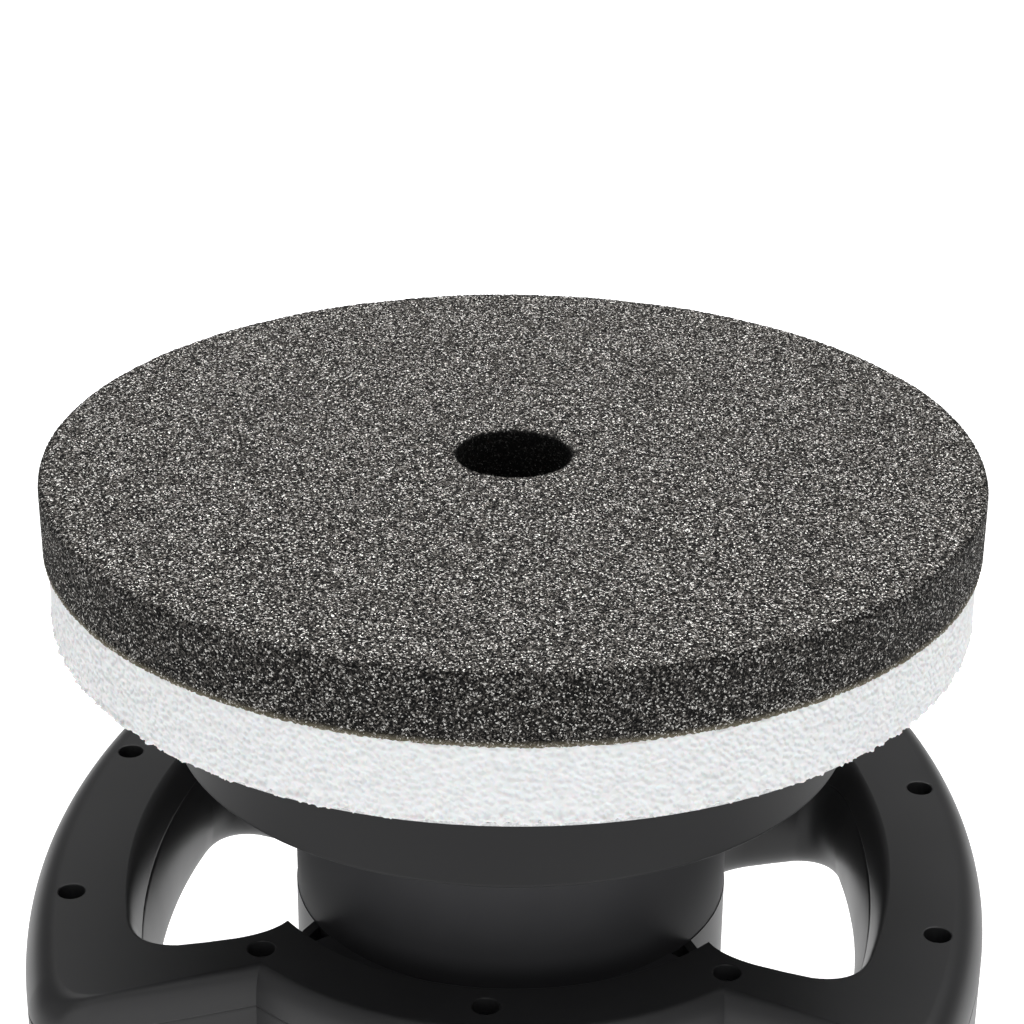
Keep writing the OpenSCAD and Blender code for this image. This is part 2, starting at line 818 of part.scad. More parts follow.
foam_face();
foam_base();
loop_disc();
hook_disc();
backing_plate();
plate_washer();
plate_bolt();
pad_spindle();
pad_bearing_inner();
spindle_circlip();
rotor_shaft();
rotor_core();
rotor_windings();
commutator();
front_bearing_inner();
rear_bearing_inner();
cooling_fan();
eccentric_hub();
eccentric_screw();
pad_bearing_outer();
pad_bearing_balls();
pocket_circlip();
pad_side_housing();
dome_side_housing();
neck_shroud();
housing_screws();
motor_can();
motor_magnets();
front_bracket();
rear_bracket();
tie_bolts();
motor_screws();
front_bearing_outer();
front_bearing_balls();
rear_bearing_outer();
rear_bearing_balls();
brush_holders();
carbon_brushes();
brush_springs();
control_board();
rectifier();
filter_capacitor();
switch_body();
dial_potentiometer();
cord_gland();
cord_clamp();
clamp_screws();
lead_wires();
switch_rocker();
speed_dial();
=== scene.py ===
import math

import bmesh
import bpy
import numpy as np
from mathutils import Euler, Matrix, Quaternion, Vector


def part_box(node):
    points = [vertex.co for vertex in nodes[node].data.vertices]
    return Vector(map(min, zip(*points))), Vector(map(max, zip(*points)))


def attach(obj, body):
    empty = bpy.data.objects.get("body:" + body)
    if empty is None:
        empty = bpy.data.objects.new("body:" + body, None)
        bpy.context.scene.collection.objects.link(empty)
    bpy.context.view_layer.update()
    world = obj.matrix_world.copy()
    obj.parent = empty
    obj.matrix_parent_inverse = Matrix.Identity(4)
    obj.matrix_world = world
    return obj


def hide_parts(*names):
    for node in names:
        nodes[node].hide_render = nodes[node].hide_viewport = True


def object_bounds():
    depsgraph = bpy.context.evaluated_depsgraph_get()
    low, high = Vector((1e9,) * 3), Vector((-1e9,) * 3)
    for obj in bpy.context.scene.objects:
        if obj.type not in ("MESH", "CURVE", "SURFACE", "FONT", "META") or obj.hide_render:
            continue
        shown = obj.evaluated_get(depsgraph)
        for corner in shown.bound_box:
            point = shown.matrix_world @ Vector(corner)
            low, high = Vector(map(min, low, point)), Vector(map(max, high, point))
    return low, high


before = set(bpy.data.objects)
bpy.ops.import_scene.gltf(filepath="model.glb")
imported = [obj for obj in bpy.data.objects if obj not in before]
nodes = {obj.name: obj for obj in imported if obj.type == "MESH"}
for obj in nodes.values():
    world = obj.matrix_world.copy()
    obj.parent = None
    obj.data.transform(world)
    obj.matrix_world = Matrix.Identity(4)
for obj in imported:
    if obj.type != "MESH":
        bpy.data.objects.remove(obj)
cad_low, cad_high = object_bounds()

# ---- Camera ----
# A long lens in front of the upturned machine, a little above the pad and looking down on it.
MM = 0.001
camera_data = bpy.data.cameras.new("camera")
camera_data.sensor_width = 36.0
camera_data.lens = 92.56
camera = bpy.data.objects.new("camera", camera_data)
camera.location = Vector((45.7, -620.7, 470.4)) * MM
camera.rotation_mode = "QUATERNION"
look_down = Euler((math.radians(90 - 24.52), 0, math.radians(4.26))).to_quaternion()
camera.rotation_quaternion = look_down @ Quaternion((0, 0, 1), math.radians(0.52))
bpy.context.scene.collection.objects.link(camera)
bpy.context.scene.camera = camera

# ---- Studio ----
# A seamless sheet of white paper under the machine, lit so that it burns out to white, with one
# large softbox over the pad, one at its left and two in front, low and high.
def srgb(code):
    """A hex colour as the linear values that a shader takes."""
    parts = [int(code[i:i + 2], 16) / 255 for i in (1, 3, 5)]
    linear = [c / 12.92 if c <= 0.04045 else ((c + 0.055) / 1.055) ** 2.4 for c in parts]
    return (*linear, 1.0)


def add(tree, kind, inputs=(), **settings):
    """Adds one node. inputs maps its sockets to numbers or to the sockets that feed them."""
    node = tree.nodes.new(kind)
    for name, value in settings.items():
        setattr(node, name, value)
    for socket, value in dict(inputs).items():
        if isinstance(value, bpy.types.NodeSocket):
            tree.links.new(value, node.inputs[socket])
        else:
            node.inputs[socket].default_value = value
    return node


def new_material(name):
    """An empty node material with its tree."""
    material = bpy.data.materials.new(name)
    material.use_nodes = True
    material.node_tree.nodes.clear()
    return material, material.node_tree


def piece(name, mesh, material):
    """A mesh as an object at the origin, in one material."""
    thing = bpy.data.objects.new(name, mesh)
    bpy.context.scene.collection.objects.link(thing)
    mesh.materials.clear()
    mesh.materials.append(material)
    return thing


paper, tree = new_material("matt_white_paper")
diffuse = add(tree, "ShaderNodeBsdfDiffuse", {"Color": srgb("#f1f1f1")})
glow = add(tree, "ShaderNodeEmission", {"Color": (1, 1, 1, 1), "Strength": 0.82})
lit = add(tree, "ShaderNodeAddShader", {0: diffuse.outputs[0], 1: glow.outputs[0]})
add(tree, "ShaderNodeOutputMaterial", {"Surface": lit.outputs[0]})
floor_mesh = bpy.data.meshes.new("floor")
reach = 9.0
floor_mesh.from_pydata([(-reach, -reach, 0), (reach, -reach, 0), (reach, reach, 0), (-reach, reach, 0)], [],
                       [(0, 1, 2, 3)])
floor = piece("floor", floor_mesh, paper)

world = bpy.data.worlds.new("studio")
world.use_nodes = True
world.node_tree.nodes["Background"].inputs["Color"].default_value = (1, 1, 1, 1)
world.node_tree.nodes["Background"].inputs["Strength"].default_value = 0.24
bpy.context.scene.world = world
bpy.context.scene.view_settings.view_transform = "Standard"


def softbox(name, place, width, height, watts):
    """A rectangular area light that looks at the machine."""
    data = bpy.data.lights.new(name, "AREA")
    data.shape = "RECTANGLE"
    data.size = width
    data.size_y = height
    data.energy = watts
    lamp = bpy.data.objects.new(name, data)
    lamp.location = place
    aim = Vector((0, 0, 0.12)) - Vector(place)
    lamp.rotation_mode = "QUATERNION"
    lamp.rotation_quaternion = aim.to_track_quat("-Z", "Y")
    bpy.context.scene.collection.objects.link(lamp)


softbox("top_softbox", (0.1, 0.6, 1.6), 1.8, 1.2, 23)
softbox("left_softbox", (-1.5, -0.7, 0.8), 1.5, 1.5, 2.5)
softbox("front_softbox", (0.2, -1.7, 0.5), 1.8, 0.7, 7)
softbox("overhead_front_softbox", (0.3, -1.0, 1.35), 1.4, 0.7, 4)

# ---- Face foam ----
# The dark finishing foam that does the polishing: open-celled polyurethane foam cut from a block
# with a wire, so its skin is a cut through thousands of cells, and fused to the base foam by heat.
pad_low, pad_high = (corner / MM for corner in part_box("foam_face"))
pad_y = (pad_low.y + pad_high.y) / 2
pad_r = (pad_high.y - pad_low.y) / 2
pad_hole_r = 14.5


def rounded(corners, steps=6):
    """A closed (radius, height) outline in mm, from corners (r, z, rounding)."""
    points = []
    for i, (r, z, rounding) in enumerate(corners):
        here = np.array((r, z), float)
        if rounding == 0:
            points.append(here)
            continue
        before = np.array(corners[i - 1][:2], float) - here
        after = np.array(corners[(i + 1) % len(corners)][:2], float) - here
        start = here + before / np.linalg.norm(before) * rounding
        end = here + after / np.linalg.norm(after) * rounding
        for t in np.linspace(0, 1, steps + 1):
            points.append((1 - t) ** 2 * start + 2 * t * (1 - t) * here + t * t * end)
    return np.array(points)


def foam_disc(name, outline, pitches, centre_y):
    """A ring of foam turned from a closed outline. pitches gives each side's vertex spacing in mm,
    and each circle of vertices has as many as its own length needs."""
    rings = []
    for a, b, pitch in zip(outline, np.roll(outline, -1, axis=0), pitches):
        count = max(1, round(float(np.linalg.norm(b - a)) / pitch))
        rings += [(*(a + (b - a) * i / count), pitch) for i in range(count)]
    counts = [max(24, round(2 * math.pi * r / pitch)) for r, z, pitch in rings]
    starts = np.concatenate([[0], np.cumsum(counts)])
    points, faces = [], []
    for k, (r, z, pitch) in enumerate(rings):
        angle = 2 * math.pi * np.arange(counts[k]) / counts[k]
        points.append(np.stack([r * np.cos(angle), centre_y + r * np.sin(angle), np.full(counts[k], z)], 1))
        after = (k + 1) % len(rings)
        n, m = counts[k], counts[after]
        own, other = np.arange(n), np.arange(m)
        to_other = np.ceil((own + 0.5) * m / n - 0.5).astype(int) % m
        to_own = (np.floor((other + 0.5) * n / m - 0.5).astype(int) + 1) % n
        faces.append(np.stack([starts[k] + own, starts[k] + (own + 1) % n, starts[after] + to_other], 1))
        faces.append(np.stack([starts[after] + (other + 1) % m, starts[after] + other, starts[k] + to_own],
                              1))
    mesh = bpy.data.meshes.new(name)
    mesh.from_pydata((np.concatenate(points) * MM).tolist(), [], np.concatenate(faces).tolist())
    mesh.shade_smooth()
    return mesh


def shape_tree(name, **inputs):
    """A geometry tree that takes a geometry and the named inputs, each given with its kind."""
    tree = bpy.data.node_groups.new(name, "GeometryNodeTree")
    sides = [("Geometry", "INPUT", "Geometry"), *[(label, "INPUT", kind) for label, kind in inputs.items()],
             ("Geometry", "OUTPUT", "Geometry")]
    for label, side, kind in sides:
        tree.interface.new_socket(label.replace("_", " "), in_out=side, socket_type="NodeSocket" + kind)
    return tree, add(tree, "NodeGroupInput").outputs


def build_cell_skin():
    """Sinks each point of a foam skin towards the middle of the cell it lies in, more so at the
    frayed lower edge."""
    tree, given = shape_tree("foam_skin", Cell="Float", Depth="Float", Waviness="Float", Fray="Float",
                             Edge_height="Float", Seed="Float", Material="Material")
    place = add(tree, "GeometryNodeInputPosition").outputs[0]
    scale = add(tree, "ShaderNodeMath", {0: 1.0, 1: given["Cell"]}, operation="DIVIDE").outputs[0]
    cells = add(tree, "ShaderNodeTexVoronoi", {"Vector": place, "Scale": scale})
    pit = add(tree, "ShaderNodeMapRange", {"Value": cells.outputs["Distance"], "From Min": 0.15,
                                          "From Max": 0.62, "To Min": 1.0, "To Max": 0.0})
    waves = add(tree, "ShaderNodeTexNoise", {"Vector": place, "W": given["Seed"], "Scale": 28.0,
                                             "Detail": 2.0},
                noise_dimensions="4D")
    wave = add(tree, "ShaderNodeMath", {0: waves.outputs[0], 1: 0.5}, operation="SUBTRACT").outputs[0]
    bits = add(tree, "ShaderNodeTexNoise", {"Vector": place, "W": given["Seed"], "Scale": 480.0,
                                            "Detail": 3.0},
               noise_dimensions="4D")
    bit = add(tree, "ShaderNodeMath", {0: bits.outputs[0], 1: 0.56}, operation="SUBTRACT").outputs[0]
    height = add(tree, "ShaderNodeSeparateXYZ", {0: place}).outputs["Z"]
    above = add(tree, "ShaderNodeMath", {0: height, 1: given["Edge height"]},
                operation="SUBTRACT").outputs[0]
    near_edge = add(tree, "ShaderNodeMapRange", {"Value": above, "From Min": 0.0, "From Max": 0.0055,
                                                "To Min": 1.0, "To Max": 0.0},
                                                interpolation_type="SMOOTHSTEP")
    fray = add(tree, "ShaderNodeMath", {0: given["Fray"], 1: near_edge.outputs[0]},
               operation="MULTIPLY").outputs[0]
    torn = add(tree, "ShaderNodeMath", {0: bit, 1: fray}, operation="MULTIPLY").outputs[0]
    wavy = add(tree, "ShaderNodeMath", {0: wave, 1: given["Waviness"], 2: torn},
               operation="MULTIPLY_ADD").outputs[0]
    sunk = add(tree, "ShaderNodeMath", {0: pit.outputs[0], 1: given["Depth"]},
               operation="MULTIPLY").outputs[0]
    total = add(tree, "ShaderNodeMath", {0: wavy, 1: sunk}, operation="SUBTRACT").outputs[0]
    normal = add(tree, "GeometryNodeInputNormal").outputs[0]
    shift = add(tree, "ShaderNodeVectorMath", {0: normal, "Scale": total}, operation="SCALE").outputs[0]
    moved = add(tree, "GeometryNodeSetPosition", {"Geometry": given["Geometry"], "Offset": shift})
    real = add(tree, "GeometryNodeRealizeInstances", {0: moved.outputs[0]})
    painted = add(tree, "GeometryNodeSetMaterial",
                  {"Geometry": real.outputs[0], "Material": given["Material"]})
    add(tree, "NodeGroupOutput", {0: painted.outputs[0]})
    return tree


def baked(thing):
    """The plain mesh that an object's modifiers make."""
    bpy.context.view_layer.update()
    return bpy.data.meshes.new_from_object(thing.evaluated_get(bpy.context.evaluated_depsgraph_get()))


def grown_by(thing, tree, **values):
    """Gives an object the mesh that a node tree makes of it, with the tree's named inputs set."""
    modifier = thing.modifiers.new(tree.name, "NODES")
    modifier.node_group = tree
    ids = {s.name: s.identifier for s in tree.interface.items_tree if s.in_out == "INPUT"}
    for name, value in values.items():
        modifier[ids[name.replace("_", " ")]] = value
    thing.update_tag()
    mesh = baked(thing)
    thing.modifiers.remove(modifier)
    thing.data = mesh


def charcoal_foam():
    """Charcoal polyurethane foam: dark struts of random tone, with a few cells painted near-white as
    glints, painted near-black shade in the hollows between them, its sawn side painted darker than its face
    as shade, painted near-black shade towards the centre hole, and a brownish fringe where it is fused to
    the white foam."""
    material, tree = new_material("charcoal_open_cell_foam")
    # The smallest cells that show; the finest real ones are about half as wide.
    cell_mm, strut_mm = 0.36, 0.15
    spot = add(tree, "ShaderNodeTexCoord").outputs["Object"]
    cells = add(tree, "ShaderNodeTexVoronoi", {"Vector": spot, "Scale": 1 / (cell_mm * MM)})
    struts = add(tree, "ShaderNodeTexNoise", {"Vector": spot, "Scale": 1 / (strut_mm * MM), "Detail": 2.0})
    shade = add(tree, "ShaderNodeSeparateColor", {0: cells.outputs["Color"]}).outputs[0]
    ramp = add(tree, "ShaderNodeValToRGB", {"Fac": shade})
    stops = ramp.color_ramp.elements
    stops[0].position = 0.3
    stops[0].color = srgb("#070707")
    stops[1].position = 0.62
    stops[1].color = srgb("#393735")
    stops.new(0.86).color = srgb("#7c7873")
    # Painted glint: the top stop turns a few cells near-white, as light glinting off cut struts.
    stops.new(0.97).color = srgb("#eceae6")
    # Painted shade: each cell darkens towards its middle, the shade inside the hollow painted into the
    # colour.
    hollow = add(tree, "ShaderNodeMapRange", {"Value": cells.outputs["Distance"], "From Min": 0.12,
                                             "From Max": 0.5, "To Min": 0.17, "To Max": 1.65})
    speck = add(tree, "ShaderNodeMapRange", {"Value": struts.outputs[0], "From Min": 0.38, "From Max": 0.62,
                                            "To Min": 0.0, "To Max": 2.0})
    level = add(tree, "ShaderNodeMath", {0: hollow.outputs[0], 1: speck.outputs[0]},
                operation="MULTIPLY").outputs[0]
    centred = add(tree, "ShaderNodeVectorMath", {0: spot, 1: (0, pad_y * MM, 0)},
                  operation="SUBTRACT").outputs[0]
    flat = add(tree, "ShaderNodeVectorMath", {0: centred, 1: (1, 1, 0)}, operation="MULTIPLY").outputs[0]
    radius = add(tree, "ShaderNodeVectorMath", {0: flat}, operation="LENGTH").outputs["Value"]
    # Painted shade: the sawn side is darkened to 0.42 of the face's tone, standing in for the lighter sheen
    # on the face.
    painted_side_shade = add(tree, "ShaderNodeMapRange", {"Value": radius, "From Min": (pad_r - 1.6) * MM,
                                               "From Max": (pad_r - 0.3) * MM, "To Min": 1.0,
                                               "To Max": 0.42})
    # Painted shade: the foam goes near-black towards the centre hole.
    painted_hole_shade = add(tree, "ShaderNodeMapRange", {"Value": radius, "From Min": (pad_hole_r + 0.3) * MM,
                                              "From Max": (pad_hole_r + 1.5) * MM, "To Min": 0.04,
                                              "To Max": 1.0})
    shaded = add(tree, "ShaderNodeMath", {0: painted_side_shade.outputs[0], 1: painted_hole_shade.outputs[0]},
                 operation="MULTIPLY")
    level = add(tree, "ShaderNodeMath", {0: level, 1: shaded.outputs[0]}, operation="MULTIPLY").outputs[0]
    foam = add(tree, "ShaderNodeVectorMath", {0: ramp.outputs[0], "Scale": level},
               operation="SCALE").outputs[0]
    height = add(tree, "ShaderNodeSeparateXYZ", {0: spot}).outputs["Z"]
    ragged = add(tree, "ShaderNodeMath", {0: struts.outputs[0], 1: 0.0035, 2: height},
                 operation="MULTIPLY_ADD").outputs[0]
    weld_z = pad_low.z * MM
    fringe = add(tree, "ShaderNodeMapRange", {"Value": ragged, "From Min": weld_z + 0.0012,
                                             "From Max": weld_z + 0.0034, "To Min": 0.75, "To Max": 0.0})
    fused = add(tree, "ShaderNodeMix", {0: fringe.outputs[0], 6: foam, 7: srgb("#8b8470")},
                data_type="RGBA")
    bump = add(tree, "ShaderNodeBump", {"Height": cells.outputs["Distance"], "Strength": 0.9,
                                        "Distance": 0.0003})
    skin = add(tree, "ShaderNodeBsdfPrincipled", {"Base Color": fused.outputs[2], "Roughness": 0.8,
                                                 "Specular IOR Level": 0.12, "Normal": bump.outputs[0]})
    add(tree, "ShaderNodeOutputMaterial", {"Surface": skin.outputs[0]})
    return material


foam_skin = build_cell_skin()
face_outline = rounded([(pad_hole_r, pad_low.z, 0), (pad_r, pad_low.z, 0), (pad_r, pad_high.z, 1.4),
                        (pad_hole_r, pad_high.z, 1.0)], 3)
face_pitches = [3.0, 0.5] + [0.5] * 3 + [0.56] + [0.5] * 3 + [0.6]
face_mesh = foam_disc("face_foam_pad", face_outline, face_pitches, pad_y)
foam_face = piece("face_foam_pad", face_mesh, charcoal_foam())
grown_by(foam_face, foam_skin, Cell=0.00078, Depth=0.00038, Waviness=0.0009, Fray=0.0, Edge_height=0.0,
         Seed=3.0, Material=foam_face.data.materials[0])
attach(foam_face, "pad")
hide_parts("foam_face")

# ---- Base foam ----
# The white, firmer foam behind it, which spreads the pressure: coarser reticulated polyurethane,
# sawn from a slab, so that its lower edge is frayed with cut cells.
base_low, base_high = (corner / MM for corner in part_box("foam_base"))
base_r = (base_high.y - base_low.y) / 2


def white_foam():
    """White reticulated foam: bright all through, with faint cool painted shade in its hollows and clear
    struts.
    """
    material, tree = new_material("white_reticulated_foam")
    cell_mm = 1.25
    spot = add(tree, "ShaderNodeTexCoord").outputs["Object"]
    cells = add(tree, "ShaderNodeTexVoronoi", {"Vector": spot, "Scale": 1 / (cell_mm * MM)})
    clouds = add(tree, "ShaderNodeTexNoise", {"Vector": spot, "Scale": 1 / (3.5 * MM), "Detail": 2.0})
    # Painted shade: each cell's hollow is mixed towards a cool grey.
    hollow = add(tree, "ShaderNodeMapRange", {"Value": cells.outputs["Distance"], "From Min": 0.1,
                                             "From Max": 0.45, "To Min": 0.2, "To Max": 0.0})
    pale = add(tree, "ShaderNodeMix", {0: hollow.outputs[0], 6: srgb("#d7d9da"), 7: srgb("#bfc5cb")},
               data_type="RGBA")
    cloudy = add(tree, "ShaderNodeMapRange", {"Value": clouds.outputs[0], "From Min": 0.3, "From Max": 0.7,
                                             "To Min": 0.94, "To Max": 1.02})
    tone = add(tree, "ShaderNodeVectorMath", {0: pale.outputs[2], "Scale": cloudy.outputs[0]},
               operation="SCALE").outputs[0]
    bump = add(tree, "ShaderNodeBump", {"Height": cells.outputs["Distance"], "Strength": 0.4,
                                        "Distance": 0.0004})
    skin = add(tree, "ShaderNodeBsdfPrincipled",
               {"Base Color": tone, "Roughness": 0.5, "Normal": bump.outputs[0],
                                                 "Subsurface Weight": 0.25, "Subsurface Scale": 0.002})
    add(tree, "ShaderNodeOutputMaterial", {"Surface": skin.outputs[0]})
    return material


base_outline = rounded([(pad_hole_r, base_low.z, 0), (base_r - 7, base_low.z, 0), (base_r, base_low.z, 1.0),
                        (base_r, base_high.z, 0.5), (pad_hole_r, base_high.z, 0)], 3)
base_pitches = [4.0, 0.7] + [0.4] * 3 + [0.42] + [0.5] * 3 + [4.0, 1.0]
base_mesh = foam_disc("base_foam_pad", base_outline, base_pitches, pad_y)
foam_base = piece("base_foam_pad", base_mesh, white_foam())
grown_by(foam_base, foam_skin, Cell=0.00125, Depth=0.0004, Waviness=0.001, Fray=0.0042,
         Edge_height=base_low.z * MM, Seed=8.0, Material=foam_base.data.materials[0])
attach(foam_base, "pad")
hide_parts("foam_base")

# ---- Backing plate ----
# The deep dished plate that the pad grips by hook and loop: glass-filled nylon, injection
# moulded with ribs inside its skirt, and held by one bolt in the middle.
def turned(name, outline, steps=180, centre_y=0.0):
    """A closed solid turned round an upright axis from a closed outline of (radius, height) in mm."""
    build = bmesh.new()
    rings = []
    for r, z in outline:
        if r < 1e-6:
            rings.append([build.verts.new((0, centre_y * MM, z * MM))] * steps)
            continue
        rings.append([build.verts.new((r * MM * math.cos(2 * math.pi * i / steps),
                                       (centre_y + r * math.sin(2 * math.pi * i / steps)) * MM, z * MM))
                      for i in range(steps)])
    for k, ring in enumerate(rings):
        above = rings[(k + 1) % len(rings)]
        for i in range(steps):
            j = (i + 1) % steps
            corners = list(dict.fromkeys([ring[i], ring[j], above[j], above[i]]))
            if len(corners) > 2:
                build.faces.new(corners)
    bmesh.ops.recalc_face_normals(build, faces=build.faces)
    mesh = bpy.data.meshes.new(name)
    build.to_mesh(mesh)
    build.free()
    return mesh


def combined(mesh, *steps):
    """A solid after a row of ("DIFFERENCE", other) or ("UNION", other) steps, each other a mesh."""
    work = bpy.data.objects.new("work", mesh)
    bpy.context.scene.collection.objects.link(work)
    tools = []
    for operation, other in steps:
        tool = bpy.data.objects.new("tool", other)
        bpy.context.scene.collection.objects.link(tool)
        tools.append(tool)
        modifier = work.modifiers.new("boolean", "BOOLEAN")
        modifier.operation = operation
        modifier.object = tool
        modifier.solver = "MANIFOLD"
    made = baked(work)
    made.name = mesh.name
    for thing in [work, *tools]:
        bpy.data.objects.remove(thing)
    return made


def smoothed(mesh, degrees=32):
    """Smooth shading with sharp edges kept, and broad faces ruling the normals beside them."""
    mesh.shade_smooth()
    mesh.set_sharp_from_angle(angle=math.radians(degrees))
    work = bpy.data.objects.new("work", mesh)
    bpy.context.scene.collection.objects.link(work)
    modifier = work.modifiers.new("normals", "WEIGHTED_NORMAL")
    modifier.keep_sharp = True
    modifier.weight = 80
    made = baked(work)
    made.name = mesh.name
    bpy.data.objects.remove(work)
    return made


def box_mesh(low, high, turn=0.0, centre=(0, 0, 0)):
    """A box between two corners in mm, turned about the Z axis and then moved to a centre."""
    build = bmesh.new()
    bmesh.ops.create_cube(build, size=1.0)
    low, high = Vector(low), Vector(high)
    middle, size = (low + high) / 2, high - low
    spin = Euler((0, 0, turn)).to_matrix()
    for vert in build.verts:
        local = Vector((vert.co.x * size.x, vert.co.y * size.y, vert.co.z * size.z)) + middle
        vert.co = (spin @ local + Vector(centre)) * MM
    mesh = bpy.data.meshes.new("box")
    build.to_mesh(mesh)
    build.free()
    return mesh


def joined(*meshes):
    """Several meshes as one, left as separate shells."""
    build = bmesh.new()
    for mesh in meshes:
        build.from_mesh(mesh)
    whole = bpy.data.meshes.new("joined")
    build.to_mesh(whole)
    build.free()
    return whole


def moulded_plastic(name, colour, roughness, grain_mm, relief_mm, ior=1.4):
    """Injection-moulded plastic: one colour through and through, with the fine even sparkle of a
    spark-eroded mould, slightly uneven gloss and faint handling marks. The grain is drawn three or
    four times as coarse as it is, so that it shows."""
    material, tree = new_material(name)
    spot = add(tree, "ShaderNodeTexCoord").outputs["Object"]
    grain = add(tree, "ShaderNodeTexNoise", {"Vector": spot, "Scale": 1 / (grain_mm * MM), "Detail": 2.0})
    flow = add(tree, "ShaderNodeTexNoise", {"Vector": spot, "Scale": 1 / (35 * MM), "Detail": 3.0})
    tone = add(tree, "ShaderNodeMapRange", {"Value": flow.outputs[0], "From Min": 0.3, "From Max": 0.7,
                                           "To Min": 0.9, "To Max": 1.1})
    body = add(tree, "ShaderNodeVectorMath", {0: srgb(colour)[:3], "Scale": tone.outputs[0]},
               operation="SCALE")
    gloss = add(tree, "ShaderNodeMapRange", {"Value": flow.outputs[0], "From Min": 0.3, "From Max": 0.7,
                                            "To Min": roughness - 0.03, "To Max": roughness + 0.03})
    bump = add(tree, "ShaderNodeBump", {"Height": grain.outputs[0], "Strength": 0.5,
                                        "Distance": relief_mm * MM})
    skin = add(tree, "ShaderNodeBsdfPrincipled",
               {"Base Color": body.outputs[0], "Roughness": gloss.outputs[0],
                                                 "IOR": ior, "Normal": bump.outputs[0]})
    add(tree, "ShaderNodeOutputMaterial", {"Surface": skin.outputs[0]})
    return material


plate_low, plate_high = (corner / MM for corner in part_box("backing_plate"))
plate_r = (plate_high.y - plate_low.y) / 2
skirt = 3.0
plate_floor_z = plate_high.z - 6.3
rim_z, hub_z = 131.0, 156.0
bolt_r, washer_r, washer_seat_z = 4.2, 12.0, 161.0
plate_outline = rounded([
    (bolt_r, hub_z, 0.4), (20, hub_z, 1.0), (20, plate_floor_z, 1.5), (plate_r - skirt, plate_floor_z, 4.0),
    (plate_r - skirt, rim_z, 1.2), (plate_r, rim_z, 1.5), (plate_r, plate_high.z, 2.0),
    (washer_r, plate_high.z, 0.5), (washer_r, washer_seat_z, 0), (bolt_r, washer_seat_z, 0)], 5)
# Painted light: the plate's nylon is a darker black than the neck's, to offset the extra light the plate
# catches.
darkened_plate_nylon = moulded_plastic("glass_filled_nylon_moulding", "#1c1c1d", 0.5, 0.45, 0.012, 1.28)
ribs = [box_mesh((18, -1.2, 154), (plate_r - skirt + 0.5, 1.2, plate_floor_z + 1), math.radians(60 * i),
                 (0, pad_y, 0)) for i in range(6)]
plate_mesh = combined(turned("backing_plate_moulding", plate_outline, 240, pad_y),
                      *[("UNION", rib) for rib in ribs])
backing_plate = piece("backing_plate_moulding", smoothed(plate_mesh), darkened_plate_nylon)
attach(backing_plate, "pad")
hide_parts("backing_plate")

# ---- Neck ----
# The round neck that shields the eccentric: a black nylon tube with a web that carries the motor,
# clamped by its flange between the two housing shells.
neck_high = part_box("neck_shroud")[1] / MM
neck_r, neck_wall, web_z, split_z = 58.8, 2.8, 108.0, 78.0
moat_r = 71.2
inner_r = neck_r - neck_wall
neck_outline = rounded([
    (20.5, web_z - 4, 0), (inner_r, web_z - 4, 0.8), (inner_r, split_z, 0), (neck_r, split_z, 0),
    (neck_r, neck_high.z, 0.9),
    (inner_r, neck_high.z, 0.9), (inner_r, web_z, 0.8), (20.5, web_z, 0)], 4)


def sector_prism(half_angle, r1, r2, z1, z2, turn):
    """A block of a ring, in mm and degrees, centred on the direction turn."""
    steps = 40
    angles = np.radians(turn + np.linspace(-half_angle, half_angle, steps + 1))
    flat = [(r1 * math.cos(a), r1 * math.sin(a)) for a in angles]
    flat += [(r2 * math.cos(a), r2 * math.sin(a)) for a in angles[::-1]]
    return prism(flat, z1, z2)


def prism(flat, z1, z2):
    """A straight solid from a closed list of (x, y) points and two heights, in mm."""
    return lofted([(z1, flat), (z2, flat)])


def lofted(levels):
    """A solid through closed outlines of equal length, each given as (height, points) in mm."""
    build = bmesh.new()
    rings = [[build.verts.new((x * MM, y * MM, z * MM)) for x, y in points] for z, points in levels]
    count = len(rings[0])
    build.faces.new(rings[0])
    build.faces.new(rings[-1])
    for low, high in zip(rings, rings[1:]):
        for i in range(count):
            j = (i + 1) % count
            build.faces.new([low[i], low[j], high[j], high[i]])
    bmesh.ops.recalc_face_normals(build, faces=build.faces)
    mesh = bpy.data.meshes.new("loft")
    build.to_mesh(mesh)
    build.free()
    return mesh


def post(r, z1, z2, x=0.0, y=0.0, steps=32):
    """An upright round rod in mm."""
    circle = [(x + r * math.cos(2 * math.pi * i / steps), y + r * math.sin(2 * math.pi * i / steps))
              for i in range(steps)]
    return prism(circle, z1, z2)


handle_screw = (114.0, 37.5)
corner_screw = 59.5
centre_screw_y = 79.4
screw_places = [(x * handle_screw[0], y * handle_screw[1]) for x in (-1, 1) for y in (-1, 1)]
screw_places += [(x * corner_screw, y * corner_screw) for x in (-1, 1) for y in (-1, 1)]
screw_places += [(0.0, -centre_screw_y), (0.0, centre_screw_y)]
clearance_r, pilot_r = 2.2, 1.6
flanges = [sector_prism(50, neck_r - 2.2, r, split_z - 3, top, turn)
           for turn in (90, 270) for r, top in ((moat_r - 0.2, split_z + 0.4), (moat_r + 3.6, split_z))]
windows = [box_mesh((42, -6, web_z - 5), (51, 6, web_z + 1), math.radians(22.5 + 45 * i)) for i in range(8)]
web_holes = [post(clearance_r, web_z - 5, web_z + 1, 29 * math.cos(a), 29 * math.sin(a))
             for a in np.radians([45, 135, 225, 315])]
flange_holes = [post(clearance_r, split_z - 4, split_z + 1, x, y) for x, y in screw_places[8:]]
neck_mesh = combined(turned("neck_tube", neck_outline, 240), *[("UNION", part) for part in flanges],
                     *[("DIFFERENCE", part) for part in windows + web_holes + flange_holes])
